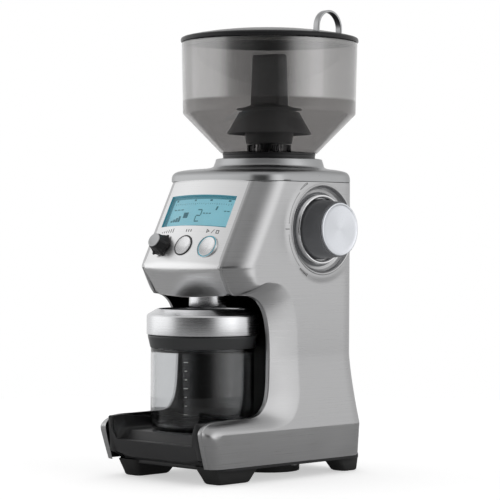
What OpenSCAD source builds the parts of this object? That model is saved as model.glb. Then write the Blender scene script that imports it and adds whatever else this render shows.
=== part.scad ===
// Burr coffee grinder: upright steel housing, smoked hopper, conical burrs, jar on a pull-out tray.
// Origin on the standing surface under the burr axis. +X is the grind dial side, -Y the front.

/* [Housing] */
// Half width of the upper housing
body_half = 61; // [59:0.5:63]
// Back face of the upper housing
body_back = 47; // [46:0.5:50]
// Height of the seam under the top cap
seam_z = 242.6; // [241:0.2:244]
// Height of the underside of the head
head_z = 150.5; // [149:0.5:152]
// Sheet thickness of the steel skins
skin = 2; // [1.6:0.2:2.2]
// Half width of the front panel
panel_half = 46; // [44:0.5:47]
// Radius of the front panel's outward curve
panel_r = 200; // [180:10:300]

/* [Base] */
// Half width of the base band at its widest
base_half = 66; // [65:0.5:68]
// Back face of the base
base_back = 55; // [53:0.5:58]
// Front face of the base at its top edge
base_front = 136.5; // [134:0.5:140]
// Bottom edge of the steel base band
band_low = 14; // [13:0.5:15]
// Height of the crease round the base band
band_high = 41; // [40:0.5:42]

/* [Hopper] */
// Outer radius of the bin at the lid
bin_r = 74.3; // [72:0.1:76]
// Height where the bin's cone begins
bin_knee_z = 300.5; // [296:0.5:304]
// Height of the bin's mouth
bin_top_z = 360.5; // [356:0.5:364]
// Wall of the bin
bin_wall = 2.5; // [2:0.1:3]
// Outer radius of the lid's rim
lid_r = 75.2; // [75:0.1:77]

/* [Jar] */
// Outer radius of the jar
jar_r = 42.5; // [40:0.1:43]
// Distance of the jar's axis in front of the burr axis
jar_y = 78; // [77:0.5:80]
// Height of the platform that the jar stands on
jar_z = 38.5; // [38:0.1:39]

/* [Grind dial] */
// Height of the dial's axis
dial_z = 203.5; // [203:0.1:204]
// Radius of the dial's barrel at the housing
dial_r = 25; // [23:0.5:25.5]

/* [Hidden] */
$fn = 96;

// Side outline of the head: top edge, crease and bottom edge of the front panel
top_front = 67.5;
crease_front = 104;
crease_z = 172;
low_front = 90;
tilt_up = atan((crease_front - top_front) / (seam_z - crease_z));
tilt_low = atan((crease_front - low_front) / (crease_z - head_z));
// The panel's curve is measured from the chord between its two side edges
bulge_y = sqrt(panel_r * panel_r - panel_half * panel_half);
// The flank turns from the panel's edge to the side over this depth
flank_depth = 22;
flank_w = body_half - panel_half;
flank_r = (flank_w * flank_w + flank_depth * flank_depth) / (2 * flank_w);
back_corner = 20;
panel_gap = 0.1;

// Controls on the panel: height above the crease along the panel, and sideways spacing
control_v = 17.45;
control_pitch = 26;
lcd_v = [35.6, 64.2];
lcd_u = [-38, 37];
press = 1.2;

// Recess for the jar
recess_front = 53;
bay_half = 54.5;

// Place of the cord's inlet in the back of the base
cord_x = 24;
cord_z = 28;

// Burr set and its drive
shaft_r = 4;
motor_at = [0, 20];
idler_at = [22.96, 13.02];
stage_one_z = 146;
stage_two_z = 154;
ring_gear_z = 213.75;
ring_pitch_r = 41;
ring_teeth = 72;
dial_teeth = 18;
dial_pitch_r = ring_pitch_r * dial_teeth / ring_teeth;

// Hopper seat
ledge_z = 250;
collar_top_z = 262.5;
neck_r = 39.5;

// Jar and its lid
spout_y = 72.5;
spout_r = 15.3;
liner_low = 39.2;

// Controls
board_n = 11.2;
stem_r = 3;
preset_cup_r = 9.3;
start_cup_r = 9.9;

// Gears
to_motor = atan2(motor_at[1] - idler_at[1], motor_at[0] - idler_at[0]);
to_idler = atan2(idler_at[1], idler_at[0]);
module_one = 1;
module_two = 1.1;
pinion_teeth = 12;
wheel_teeth = 36;
half_gap = 180 / pinion_teeth;

function arc(cx, cy, r, from, to, n = 8) =
    [for (i = [0:n]) let (a = from + (to - from) * i / n) [cx + r * cos(a), cy + r * sin(a)]];

module on_panel() {
    translate([0, -crease_front, crease_z]) rotate([-tilt_up, 0, 0]) children();
}
module on_lower_panel() {
    translate([0, -crease_front, crease_z]) rotate([tilt_low, 0, 0]) children();
}
// Places a child on the panel's curved face, its +Z pointing out of the panel
module at_control(u) {
    rise = sqrt(panel_r * panel_r - u * u) - bulge_y;
    on_panel() translate([u, -rise, control_v]) rotate([90, 0, 0]) children();
}
module tube(r, inner, h) {
    difference() {
        cylinder(r = r, h = h);
        translate([0, 0, -1]) cylinder(r = inner, h = h + 2);
    }
}
module both_sides() {
    children();
    mirror([1, 0, 0]) children();
}
// The four posts that tie the inner frame to the base plate
module at_posts() {
    for (x = [-46, 46]) for (y = [-19, 37]) translate([x, y, 0]) children();
}
module block(x, y, z) {
    translate([x[0], y[0], z[0]]) cube([x[1] - x[0], y[1] - y[0], z[1] - z[0]]);
}
// A prism along X from an outline in Y and Z
module side_prism(half, outline) {
    rotate([90, 0, 90]) linear_extrude(2 * half, center = true) polygon(outline);
}
// A prism along Y from an outline in X and Z
module front_prism(y0, y1, outline) {
    translate([0, y1, 0]) rotate([90, 0, 0]) linear_extrude(y1 - y0) polygon(outline);
}
module plan_prism(z0, z1, outline) {
    translate([0, 0, z0]) linear_extrude(z1 - z0) polygon(outline);
}
function rear_plan(half, back, r, front) = concat(
    [[-half, front], [half, front]],
    arc(half - r, back - r, r, 0, 90),
    arc(-half + r, back - r, r, 90, 180));
function full_plan(half, back, front, rb, rf) = concat(
    arc(half - rb, back - rb, rb, 0, 90),
    arc(-half + rb, back - rb, rb, 90, 180),
    arc(-half + rf, front + rf, rf, 180, 270),
    arc(half - rf, front + rf, rf, 270, 360));

// Section of the head across its panel, inset by t, with y into the body
module face_section(t) {
    turn = asin((panel_half - 0.3 * t) / (panel_r - t));
    centre = body_half - flank_r;
    polygon(concat(
        arc(0, bulge_y, panel_r - t, 270 - turn, 270 + turn, 12),
        arc(centre, flank_depth, flank_r - t, -58, 0, 5),
        [[body_half - t, 280], [-body_half + t, 280]],
        arc(-centre, flank_depth, flank_r - t, 180, 238, 5)));
}
module head_solid(t, low, high) {
    intersection() {
        on_panel() translate([0, 0, -80]) linear_extrude(280) face_section(t);
        on_lower_panel() translate([0, 0, -160]) linear_extrude(320) face_section(t);
        plan_prism(low, high, rear_plan(body_half - t, body_back - t, back_corner - t, -130));
    }
}
// Opening between head and base, seen from the side
module jar_recess_cut(half) {
    side_prism(half, concat(
        [[-200, 50.5]],
        arc(-recess_front - 16, 66.5, 16, 270, 360),
        arc(-recess_front - 20, head_z - 20, 20, 0, 90),
        [[-200, head_z]]));
}
module base_solid(t) {
    intersection() {
        side_prism(base_half, [
            [-base_front + 9 + t, band_low], [base_back - t, band_low], [base_back - t, 60],
            [-base_front + t, 60], [-base_front + t, band_high]]);
        front_prism(-base_front, base_back, [
            [-base_half + 2 + t, band_low], [base_half - 2 - t, band_low], [base_half - t, band_high],
            [base_half - 4.5 - t, band_high + 6], [bay_half + 1.5, 50.5 - t], [-bay_half - 1.5, 50.5 - t],
            [-base_half + 4.5 + t, band_high + 6], [-base_half + t, band_high]]);
        plan_prism(0, 70, full_plan(base_half - t, base_back - t, -base_front + t, 18 - t, 11 - t));
    }
}
module flare_solid(t) {
    hull() {
        plan_prism(band_high - 1, band_high, rear_plan(base_half - t, base_back - t, 18 - t, -recess_front));
        plan_prism(95, 96, rear_plan(body_half - t, body_back - t, back_corner - t, -recess_front));
    }
}

// ---- Fixed housing ----

module base_plate() color("#1c1c1d") {
    difference() {
        union() {
            plan_prism(9, band_low, full_plan(base_half - 3, base_back - 1, -base_front + 11, 16, 9));
            both_sides() block([bay_half + 0.2, bay_half + 2], [-124, -54], [band_low - 1, 46]);
            translate([0, -72, 5]) cylinder(r = 26, h = 4.5);
            at_posts() translate([0, 0, 9]) cylinder(r = 6.5, h = 9);
        }
        // The pan is open inside its rim
        block([-38, 38], [-24, 50], [11.5, 20]);
        block([-52, 52], [-119, -28], [11.5, 20]);
        at_posts() cylinder(r = 2.6, h = 30);
        at_posts() cylinder(r = 4.6, h = 10);
    }
}

module foot(x, y, length) {
    translate([x, y, 0]) front_prism(-length / 2, length / 2, [[-12, 0], [12, 0], [15, 9], [-15, 9]]);
}
// Four corner feet and a round pad under the burr axis
module rubber_feet() color("#141415") {
    cylinder(r = 27, h = 9);
    for (s = [-1, 1]) {
        foot(s * 43, -96, 50);
        foot(s * 43, 27, 34);
    }
}

module base_screws() color("#8d8f92") {
    at_posts() {
        translate([0, 0, 9.1]) cylinder(r = 4.4, h = 0.9);
        translate([0, 0, 9.5]) cylinder(r = 2.5, h = 17);
    }
}

module body_shell() color("#b9babb") {
    difference() {
        union() {
            head_solid(0, head_z, seam_z);
            difference() {
                plan_prism(band_high - 1, head_z, rear_plan(body_half, body_back, back_corner, -74));
                jar_recess_cut(80);
            }
            difference() {
                flare_solid(0);
                jar_recess_cut(80);
            }
            base_solid(0);
        }
        head_solid(skin, head_z - 1, seam_z + 1);
        plan_prism(band_high, head_z + 1, rear_plan(body_half - skin, body_back - skin, back_corner - skin, -90));
        flare_solid(skin);
        base_solid(skin);
        // Bay for the tray, and the open bottom
        block([-bay_half - 2, bay_half + 2], [-200, -20], [0, 140]);
        block([-base_half + 5, base_half - 5], [-base_front + 12, base_back - 3], [0, band_low + 5]);
        // Opening for the front panel
        block([-panel_half - panel_gap, panel_half + panel_gap], [-130, -58], [head_z - 1, seam_z + 1]);
        // Seat of the dial's dish
        translate([40, 0, dial_z]) rotate([0, 90, 0]) cylinder(r = 37, h = 40);
        // Hole for the cord gland
        translate([cord_x, base_back + 5, cord_z]) rotate([90, 0, 0]) cylinder(r = 7, h = 20);
    }
}

module front_panel() color("#d3d4d5") {
    difference() {
        intersection() {
            head_solid(0, head_z, seam_z - panel_gap);
            block([-panel_half + panel_gap, panel_half - panel_gap], [-130, -58], [head_z - 1, seam_z]);
        }
        head_solid(skin, head_z - 1, seam_z + 1);
        on_panel() block([lcd_u[0], lcd_u[1]], [-20, 20], [lcd_v[0], lcd_v[1]]);
        at_control(0) translate([0, 0, -15]) cylinder(r = preset_cup_r, h = 30);
        at_control(control_pitch) translate([0, 0, -15]) cylinder(r = start_cup_r, h = 30);
        at_control(-control_pitch) translate([0, 0, -15]) cylinder(r = 4.2, h = 30);
    }
}

// Carrier behind the panel
module front_frame() color("#232425") {
    difference() {
        intersection() {
            head_solid(skin, head_z + 3, seam_z);
            block([-56.5, 56.5], [-130, -52], [head_z + 3, seam_z]);
        }
        head_solid(skin + 2, head_z - 1, seam_z + 1);
        on_panel() block([lcd_u[0] - 3, lcd_u[1] + 3], [-20, 30], [lcd_v[0] - 3, lcd_v[1] + 2]);
        at_control(0) translate([0, 0, -15]) cylinder(r = preset_cup_r, h = 30);
        at_control(control_pitch) translate([0, 0, -15]) cylinder(r = start_cup_r, h = 30);
        at_control(-control_pitch) translate([0, 0, -15]) cylinder(r = 4.2, h = 30);
    }
    // Posts that carry the control board
    for (u = [-43.6, 43.6]) for (v = [2, 62]) on_panel() {
        translate([u, 2, v]) rotate([-90, 0, 0]) cylinder(r = 2.4, h = board_n - 2);
    }
}

module recess_liner() color("#101011") {
    wall = 2.5;
    outer_half = body_half - skin;
    turn_x = 24.4;
    turn_r = 28;
    difference() {
        union() {
            plan_prism(liner_low, head_z + 2, concat(
                arc(turn_x, -recess_front, turn_r, 0, 90), arc(-turn_x, -recess_front, turn_r, 90, 180)));
            // Webs from the channel to the side skins
            both_sides() block([48, outer_half - 0.1], [-53, -50.5], [52, head_z + 1]);
            // Plate that closes the head's underside
            head_solid(skin, head_z, head_z + 2);
        }
        plan_prism(30, head_z, concat(
            [[turn_x + turn_r - wall, -150]], arc(turn_x, -recess_front, turn_r - wall, 0, 90),
            arc(-turn_x, -recess_front, turn_r - wall, 90, 180), [[-turn_x - turn_r + wall, -150]]));
        block([-body_half, body_half], [-27, 60], [head_z - 1, head_z + 5]);
        translate([0, -spout_y, 140]) cylinder(r = spout_r + 0.2, h = 20);
    }
}

module top_cap() color("#b4b5b7") {
    difference() {
        union() {
            hull() {
                head_solid(0, seam_z, seam_z + 0.6);
                plan_prism(248, 249, full_plan(57.5, 44, -63.5, 18, 18));
                plan_prism(253, 254, full_plan(50, 37, -56, 16, 20));
            }
            rotate_extrude() polygon([
                [38, 253], [47.5, 253], [47.5, 254.4], [46.2, 256], [45.1, collar_top_z], [38, collar_top_z]]);
        }
        plan_prism(seam_z - 1, 247, full_plan(52, 40, -58, 14, 16));
        translate([0, 0, seam_z]) cylinder(r = 36, h = 30);
        translate([0, 0, ledge_z]) cylinder(r = neck_r + 0.5, h = 30);
    }
}

module lcd_window() color("#a9d3dd") {
    length = lcd_v[1] - lcd_v[0];
    on_panel() translate([0, bulge_y, lcd_v[0]]) intersection() {
        difference() {
            cylinder(r = panel_r - 0.9, h = length, $fn = 360);
            translate([0, 0, -1]) cylinder(r = panel_r - 2, h = length + 2, $fn = 360);
        }
        block([lcd_u[0], lcd_u[1]], [-panel_r - 5, 0], [-1, length + 1]);
    }
}

module lcd_module() color("#6fb7c8") {
    on_panel() {
        block([lcd_u[0] - 2, lcd_u[1] + 2], [0.8, 6], [lcd_v[0] - 2, lcd_v[1] + 1.5]);
        for (u = [lcd_u[0] + 4, lcd_u[1] - 4]) for (v = [lcd_v[0] + 2, lcd_v[1] - 3]) {
            translate([u, 5, v]) rotate([-90, 0, 0]) cylinder(r = 1.2, h = board_n - 5);
        }
    }
}

// Distance from the control board's front to the panel's surface at a control
function board_drop(u) = board_n + sqrt(panel_r * panel_r - u * u) - bulge_y;

module control_board() color("#1f5b3a") {
    on_panel() block([-44, 44], [board_n, board_n + 1.6], [4, 65]);
    for (u = [0, control_pitch]) at_control(u) translate([-3, -3, -board_drop(u)]) cube([6, 6, 4]);
    at_control(-control_pitch) translate([-6, -6, -board_drop(control_pitch)]) cube([12, 12, 5.6]);
}

// Cup that a button slides in, its rim just proud of the panel
module button_cup(r, inner) {
    difference() {
        translate([0, 0, -7.5]) cylinder(r = r, h = 8.1);
        translate([0, 0, -6.5]) cylinder(r = inner, h = 10);
        translate([0, 0, -10]) cylinder(r = stem_r + 0.05, h = 20);
    }
}
module preset_bezel() color("#2a2b2c") at_control(0) button_cup(preset_cup_r, 7.9);
module start_light_ring() color("#2f8fa3") at_control(control_pitch) button_cup(start_cup_r, 8.3);

module button(r, u) {
    at_control(u) {
        rotate_extrude() polygon([[0, -4.2], [r, -4.2], [r, 0.6], [r - 0.6, 1.1], [0, 0.4]]);
        translate([0, 0, -board_drop(u) + 4.2 + press]) cylinder(r = stem_r, h = board_drop(u) - 8);
    }
}
module preset_button() color("#c9cacb") button(7.6, 0);
module start_button() color("#c9cacb") button(8, control_pitch);

module amount_spindle() color("#77797c") at_control(-control_pitch) {
    translate([0, 0, -board_drop(control_pitch) + 6.4]) cylinder(r = stem_r, h = 15);
}
module amount_knob() color("#1a1a1b") at_control(-control_pitch) {
    difference() {
        union() {
            rotate_extrude() polygon([[0, 1.6], [9, 1.6], [9, 3], [6.9, 10.4], [6.2, 11.2], [0, 11]]);
            for (i = [0:5]) rotate([0, 0, 60 * i]) translate([6.8, 0, 1.6]) cylinder(r = 2.6, h = 5);
        }
        translate([0, 0, 1]) cylinder(r = stem_r + 0.05, h = 8.2);
    }
}

module inner_frame() color("#2b2c2e") {
    difference() {
        plan_prism(134, 138, [[-50, -23], [50, -23], [50, 38], [44, 44], [-44, 44], [-50, 38]]);
        translate([motor_at[0], motor_at[1], 130]) cylinder(r = 22.2, h = 10);
    }
    at_posts() difference() {
        block([-4, 4], [-4, 4], [18, 135]);
        translate([0, 0, 17]) cylinder(r = 2.6, h = 12);
    }
}

module power_board() color("#2d6a41") {
    block([-46, -44.4], [-15, 32.5], [30, 120]);
    block([-44.5, -30], [-8, 8], [40, 62]);
    for (z = [76, 96]) translate([-44.6, -3, z]) rotate([0, 90, 0]) cylinder(r = 7, h = 16);
    for (z = [45, 58]) block([-44.5, -32], [16, 32], [z, z + 9]);
}

module motor_can() color("#8f9295") translate([motor_at[0], motor_at[1], 75]) {
    difference() {
        cylinder(r = 22, h = 63);
        translate([0, 0, 2]) cylinder(r = 20, h = 70);
    }
}
module motor_cap() color("#a5a7a9") translate([motor_at[0], motor_at[1], 138]) tube(24, 2.56, 3);
module motor_armature() color("#7c4a2a") translate([motor_at[0], motor_at[1], 0]) {
    translate([0, 0, 84]) cylinder(r = 16, h = 44);
    translate([0, 0, 78]) cylinder(r = 2.5, h = 74.5);
}

// Spur gear with straight-sided teeth cut thin for running clearance
module gear(teeth, module_mm, h) {
    pitch_r = teeth * module_mm / 2;
    root = pitch_r - 1.15 * module_mm;
    tip = pitch_r + 0.8 * module_mm;
    pitch = 360 / teeth;
    linear_extrude(h) polygon([for (i = [0:teeth - 1]) for (c = [
        [root, -0.27], [tip, -0.12], [tip, 0.12], [root, 0.27]])
        let (a = (i + c[1]) * pitch) [c[0] * cos(a), c[0] * sin(a)]]);
}
module bored(r) difference() {
    children();
    translate([0, 0, -1]) cylinder(r = r, h = 20);
}
module motor_pinion() color("#b08d3c") translate([motor_at[0], motor_at[1], stage_one_z]) {
    bored(2.5) rotate([0, 0, to_motor + 180 + half_gap]) gear(pinion_teeth, module_one, 6);
}
module idler_gear() color("#d9d2b8") translate([idler_at[0], idler_at[1], stage_one_z]) bored(3.05) union() {
    rotate([0, 0, to_motor]) gear(wheel_teeth, module_one, 6);
    translate([0, 0, 5]) rotate([0, 0, to_idler + 180 + half_gap]) gear(pinion_teeth, module_two, 9.5);
}
module idler_pin() color("#9b9da0") translate([idler_at[0], idler_at[1], 144]) cylinder(r = 3, h = 20);
module output_gear() color("#d9d2b8") translate([0, 0, stage_two_z]) {
    bored(shaft_r) rotate([0, 0, to_idler]) gear(wheel_teeth, module_two, 6);
}

module gearbox_wall(z0, z1) {
    difference() {
        block([-23.5, 44.5], [-23.5, 42], [z0, z1]);
        block([-21.5, 42.5], [-21.5, 40], [z0 - 1, z1 + 1]);
    }
}
module gearbox_base() color("#3a3b3d") {
    gearbox_wall(144, 150);
    difference() {
        block([-23.5, 44.5], [-23.5, 42], [141, 144]);
        translate([motor_at[0], motor_at[1], 140]) cylinder(r = 3.2, h = 6);
    }
    translate([0, 0, 144]) tube(7, shaft_r + 0.05, 6);
}
module gearbox_cover() color("#48494c") {
    gearbox_wall(150, 164);
    difference() {
        block([-23.5, 44.5], [-23.5, 42], [164, 166]);
        translate([0, 0, 160]) cylinder(r = shaft_r + 0.3, h = 10);
    }
}

module burr_shaft() color("#9fa1a4") {
    translate([0, 0, 144.3]) cylinder(r = shaft_r, h = 86);
    translate([0, 0, 230]) cylinder(r = 6.5, h = 4);
}
module shaft_bearings() color("#b9bbbd") {
    for (z = [168, 181]) translate([0, 0, z]) tube(11, shaft_r + 0.05, 7);
}

module grinding_chamber() color("#303133") {
    difference() {
        rotate_extrude() polygon([
            [11, 166], [14, 166], [14, 190], [30, 190], [30, 212.4], [36, 212.4], [36, 215.1], [27, 215.1],
            [27, 193], [shaft_r + 0.3, 193], [shaft_r + 0.3, 188.5], [11, 188.5]]);
        block([-9, 9], [-45, -20], [195, 208]);
    }
}
module impeller() color("#c2a24a") {
    translate([0, 0, 194]) tube(25.5, shaft_r, 2);
    translate([0, 0, 195.5]) tube(8, shaft_r, 10.5);
    for (i = [0:3]) rotate([0, 0, 90 * i]) block([7.6, 25], [-1.2, 1.2], [195.5, 204]);
}
module lower_burr() color("#8b8d90") {
    difference() {
        translate([0, 0, 206]) cylinder(r1 = 20.6, r2 = 12, h = 24);
        translate([0, 0, 200]) cylinder(r = shaft_r, h = 40);
        for (i = [0:7]) rotate([0, 0, 45 * i]) translate([21.6, 0, 204]) rotate([0, -19.7, 0]) {
            translate([-1.6, -1.4, 0]) cube([4, 2.8, 32]);
        }
    }
}
module upper_burr() color("#8b8d90") {
    rotate_extrude() polygon([[22, 210], [26, 210], [26, 232], [14.5, 232]]);
}
module burr_carrier() color("#2f6f7c") {
    rotate_extrude() polygon([
        [26, 216.5], [32.7, 216.5], [32.7, 246], [28, 246], [24, 240], [24, 232], [26, 232]]);
}
module adjust_ring() color("#c9c3a6") {
    translate([0, 0, 215.4]) tube(44, 33, 5.6);
    for (i = [0:ring_teeth - 1]) rotate([0, 0, (i + 0.5) * 360 / ring_teeth]) {
        block([39, 43], [-0.6, 0.6], [ring_gear_z - 0.8, 216]);
    }
}

module grind_chute() color("#27282a") {
    difference() {
        union() {
            side_prism(12, [[-25, 211], [-25, 193.5], [-57, 170], [-57, 156], [-86, 156], [-86, 166], [-72, 178]]);
            translate([0, -spout_y, head_z + 2]) cylinder(r = 17.2, h = 15.5);
        }
        side_prism(9.5, [[-20, 208], [-20, 196], [-60, 168], [-60, 159], [-83, 159], [-83, 165], [-71, 175]]);
        translate([0, -spout_y, head_z]) cylinder(r = 13.7, h = 15.5);
        translate([0, -spout_y, head_z]) cylinder(r = spout_r, h = 8);
        translate([0, 0, 190]) cylinder(r = 30, h = 30);
        translate([0, 0, 212]) cylinder(r = 36, h = 30);
    }
}
module outlet_spout() color("#b7b8ba") translate([0, -spout_y, 139.6]) tube(spout_r, 13.9, 18.9);

module along_x(x) translate([x, 0, dial_z]) rotate([0, 90, 0]) children();
module dial_dish() color("#a9aaac") along_x(0) {
    rotate_extrude() polygon([
        [7, 54.5], [29, 54.5], [33, 56.3], [36.9, 56.6], [36.9, 61], [36, 61], [29.3, 56.5], [7, 56.5]]);
    // Flange behind the side skin, cut back at the housing's rounded corner
    intersection() {
        translate([0, 0, 57]) tube(38.4, 36.5, 2);
        block([-40, 40], [-40, 26.5], [50, 60]);
    }
}
module dial_ring() color("#d9dadb") along_x(0) {
    rotate_extrude() polygon([[26.2, 56.5], [28.8, 56.5], [28.8, 60.8], [28.2, 61.6], [26.9, 61.6], [26.2, 60.8]]);
}
module dial_bush() color("#c7bfa5") along_x(0) {
    rotate_extrude() polygon([[3.05, 50], [10, 50], [10, 54.5], [7, 54.5], [7, 57.5], [3.05, 57.5]]);
}
module dial_shaft() color("#9b9da0") along_x(38.5) cylinder(r = 3, h = 34);
module dial_pinion() color("#d9d2b8") along_x(39) {
    bored(3) gear(dial_teeth, 2 * dial_pitch_r / dial_teeth, 4);
}
module dial_knob() color("#4a4b4d") along_x(0) {
    rotate_extrude() polygon([
        [3, 64], [3, 72.5], [0, 72.5], [0, 79], [22, 79], [dial_r - 0.4, 60], [dial_r, 58.2], [22.4, 58.2],
        [19.6, 75], [8, 75], [8, 64]]);
}
module dial_cap() color("#cfd2d6") along_x(0) {
    rotate_extrude() polygon([[0, 79], [21.9, 79], [21.9, 80.6], [21.3, 81.4], [0, 80.5]]);
}

module hopper_switch() color("#202021") {
    block([-51, -44], [8, 28], [236, 247]);
    block([-50, -45], [12, 24], [234.6, 236]);
}
module cord_gland() color("#161617") translate([cord_x, base_back + 2, cord_z]) rotate([90, 0, 0]) {
    difference() {
        union() {
            cylinder(r = 9, h = 2);
            cylinder(r = 7, h = 18);
        }
        translate([0, 0, -1]) cylinder(r = 3.6, h = 20);
    }
}

// ---- Hopper ----

module hopper_bin() color("#9a9694") {
    rotate_extrude() polygon([
        [bin_r, bin_top_z], [73, bin_knee_z], [40.6, 267.5], [36.8, 267.5], [36.8, 257],
        [34.8, 257], [34.8, 266], [38.4, 268.8], [73 - bin_wall, bin_knee_z + 1], [bin_r - bin_wall, bin_top_z]]);
}
// Two sector openings, through the ring's floor and the shutter alike
module sectors(z, h) {
    for (a = [0, 180]) rotate([0, 0, a]) intersection() {
        translate([0, 0, z]) tube(29, 16, h);
        plan_prism(z - 1, z + h + 1, [[0, 0], [60, -34], [60, 34]]);
    }
}
module hopper_ring() color("#1b1b1c") {
    difference() {
        rotate_extrude() polygon([
            [36.8, 250.3], [neck_r, 250.3], [neck_r, 267.3], [36.8, 267.3], [36.8, 257], [5.8, 257],
            [5.8, 254], [36.8, 254]]);
        sectors(253, 5);
    }
}
module hopper_shutter() color("#3a3b3d") {
    difference() {
        translate([0, 0, 250.8]) cylinder(r = 30.4, h = 2.6);
        sectors(250, 4);
    }
}
module hopper_guard() color("#5a5a5b") {
    rotate_extrude() polygon([
        [6.5, 257], [8.5, 257], [8.5, 300], [17, 300], [20.4, 284.5], [21.6, 284.5], [18.3, 301.3], [24, 301.3],
        [34.8, 284.5], [36, 284.5], [25.4, 303], [6.5, 303]]);
    for (a = [45:90:315]) rotate([0, 0, a]) block([8, 15], [-1.6, 1.6], [257, 292]);
}
module lock_knob() color("#2e2f31") {
    translate([0, 0, 253.4]) cylinder(r = 5.5, h = 51);
    rotate_extrude() polygon([[0, 303.4], [23, 303.4], [23, 305], [19, 307.6], [10, 309.4], [0, 309.6]]);
    front_prism(-7, 7, [[-16.6, 304], [16.6, 304], [15.4, 349], [-15.4, 349]]);
}

module lid() color("#3b3c3e") {
    rotate_extrude() polygon([
        [0, 372.2], [42, 370.4], [66, 366.8], [lid_r - 0.8, 364.6], [lid_r, 363.6], [lid_r, 361.6],
        [lid_r - 0.6, 361], [70.4, 361], [70.4, 356], [68.4, 356], [68.4, 362.6], [0, 369.8]]);
}
module lid_seal() color("#c8c8c6") {
    translate([0, 0, 357.2]) tube(71.4, 70.4, 2.4);
}
// Bent strip that stands on the lid's slope
module lid_loop() color("#a8a9ab") {
    outer = 14.7;
    inner = outer - 2;
    difference() {
        translate([63, 0, 369.4]) rotate([0, 90, 0]) difference() {
            union() {
                cylinder(r = outer, h = 6);
                translate([0, -outer, 0]) cube([5, 2 * outer, 6]);
            }
            translate([0, 0, -1]) cylinder(r = inner, h = 8);
            translate([0, -inner, -1]) cube([20, 2 * inner, 8]);
        }
        rotate_extrude() polygon([[40, 340], [80, 340], [80, 364.7], [66, 366.8], [40, 370.7]]);
    }
}

// ---- Jar and tray ----

module jar() color("#b9bdbf") translate([0, -jar_y, 0]) {
    rotate_extrude() polygon([
        [0, 38.7], [37.5, 38.7], [40.8, 40], [jar_r, 43.5], [jar_r, 106.3], [40.4, 106.3], [40.4, 131],
        [38.2, 131], [38.2, 106], [jar_r - 2.2, 103.5], [jar_r - 2.2, 45], [38.6, 42.4], [0, 42]]);
}
module jar_rim() color("#2b2b2c") translate([0, -jar_y, 0]) {
    rotate_extrude() polygon([[40.4, 106.3], [42.8, 106.3], [45, 115.4], [45, 116.4], [40.4, 116.4]]);
}
module jar_lid() color("#c3c4c6") translate([0, -jar_y, 0]) {
    rotate_extrude() polygon([
        [41, 116.8], [46, 116.8], [46, 132.4], [45, 133.6], [37.4, 138], [36, 138], [36, 136.2], [41, 133.2]]);
}

module tray() color("#3d3e40") {
    half = bay_half - 0.3;
    low = band_low + 0.3;
    wall_in = half - 3.6;
    difference() {
        side_prism(half, [
            [-122, low], [-28, low], [-28, jar_z], [-57, jar_z], [-60, 50.3], [-base_front, 50.3],
            [-base_front, band_high], [-base_front + 7.8, 17.5], [-122, 17.5]]);
        // Inside of the tray, down to the jar's platform and the trough before it
        side_prism(wall_in, [
            [-20, jar_z], [-121, jar_z], [-125.5, 26], [-129, 26], [-133.4, 40], [-133.4, 60], [-20, 60]]);
        front_prism(-145, -128, [
            [-44, 32], [44, 32], [48, 34.5], [49.5, 40], [51.6, 51], [-51.6, 51], [-49.5, 40], [-48, 34.5]]);
        block([-half + 4, half - 4], [-118, -32], [10, jar_z - 3.5]);
    }
}

base_plate();
rubber_feet();
base_screws();
body_shell();
front_panel();
front_frame();
recess_liner();
top_cap();
lcd_window();
lcd_module();
control_board();
preset_bezel();
start_light_ring();
inner_frame();
power_board();
motor_can();
motor_cap();
motor_armature();
motor_pinion();
gearbox_base();
gearbox_cover();
idler_pin();
idler_gear();
output_gear();
burr_shaft();
shaft_bearings();
grinding_chamber();
impeller();
lower_burr();
upper_burr();
burr_carrier();
adjust_ring();
grind_chute();
outlet_spout();
dial_dish();
dial_ring();
dial_bush();
dial_shaft();
dial_pinion();
dial_knob();
dial_cap();
amount_spindle();
amount_knob();
preset_button();
start_button();
hopper_switch();
cord_gland();
hopper_bin();
hopper_ring();
hopper_guard();
hopper_shutter();
lock_knob();
lid();
lid_seal();
lid_loop();
jar();
jar_rim();
jar_lid();
tray();
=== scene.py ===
"""Burr coffee grinder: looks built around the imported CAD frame.

Lengths are millimetres in this script and become metres where a mesh is made.
+X is the grind dial's side, -Y the front, +Z up; the burr axis stands on the origin.
"""
from math import atan2, copysign, cos, hypot, pi, radians, sin, sqrt, tan

import bmesh
import bpy
from mathutils import Matrix, Vector


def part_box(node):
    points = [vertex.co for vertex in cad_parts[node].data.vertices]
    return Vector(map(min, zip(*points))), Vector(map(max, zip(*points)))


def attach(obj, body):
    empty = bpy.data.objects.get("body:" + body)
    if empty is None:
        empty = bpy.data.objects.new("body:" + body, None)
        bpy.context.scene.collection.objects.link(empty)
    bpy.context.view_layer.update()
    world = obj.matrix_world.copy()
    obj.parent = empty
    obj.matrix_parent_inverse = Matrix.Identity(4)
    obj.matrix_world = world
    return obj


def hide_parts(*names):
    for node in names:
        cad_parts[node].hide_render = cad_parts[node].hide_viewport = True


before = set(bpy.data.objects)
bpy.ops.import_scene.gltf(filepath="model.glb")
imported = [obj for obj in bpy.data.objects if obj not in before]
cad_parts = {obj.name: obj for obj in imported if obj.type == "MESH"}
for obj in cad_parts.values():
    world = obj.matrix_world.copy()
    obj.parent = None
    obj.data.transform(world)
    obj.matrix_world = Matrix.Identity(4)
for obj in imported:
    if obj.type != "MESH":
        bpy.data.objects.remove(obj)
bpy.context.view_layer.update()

MM = 0.001


def low(node, axis):
    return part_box(node)[0][axis] / MM


def high(node, axis):
    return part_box(node)[1][axis] / MM


def middle(node, axis):
    return (low(node, axis) + high(node, axis)) / 2


X, Y, Z = 0, 1, 2
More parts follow.
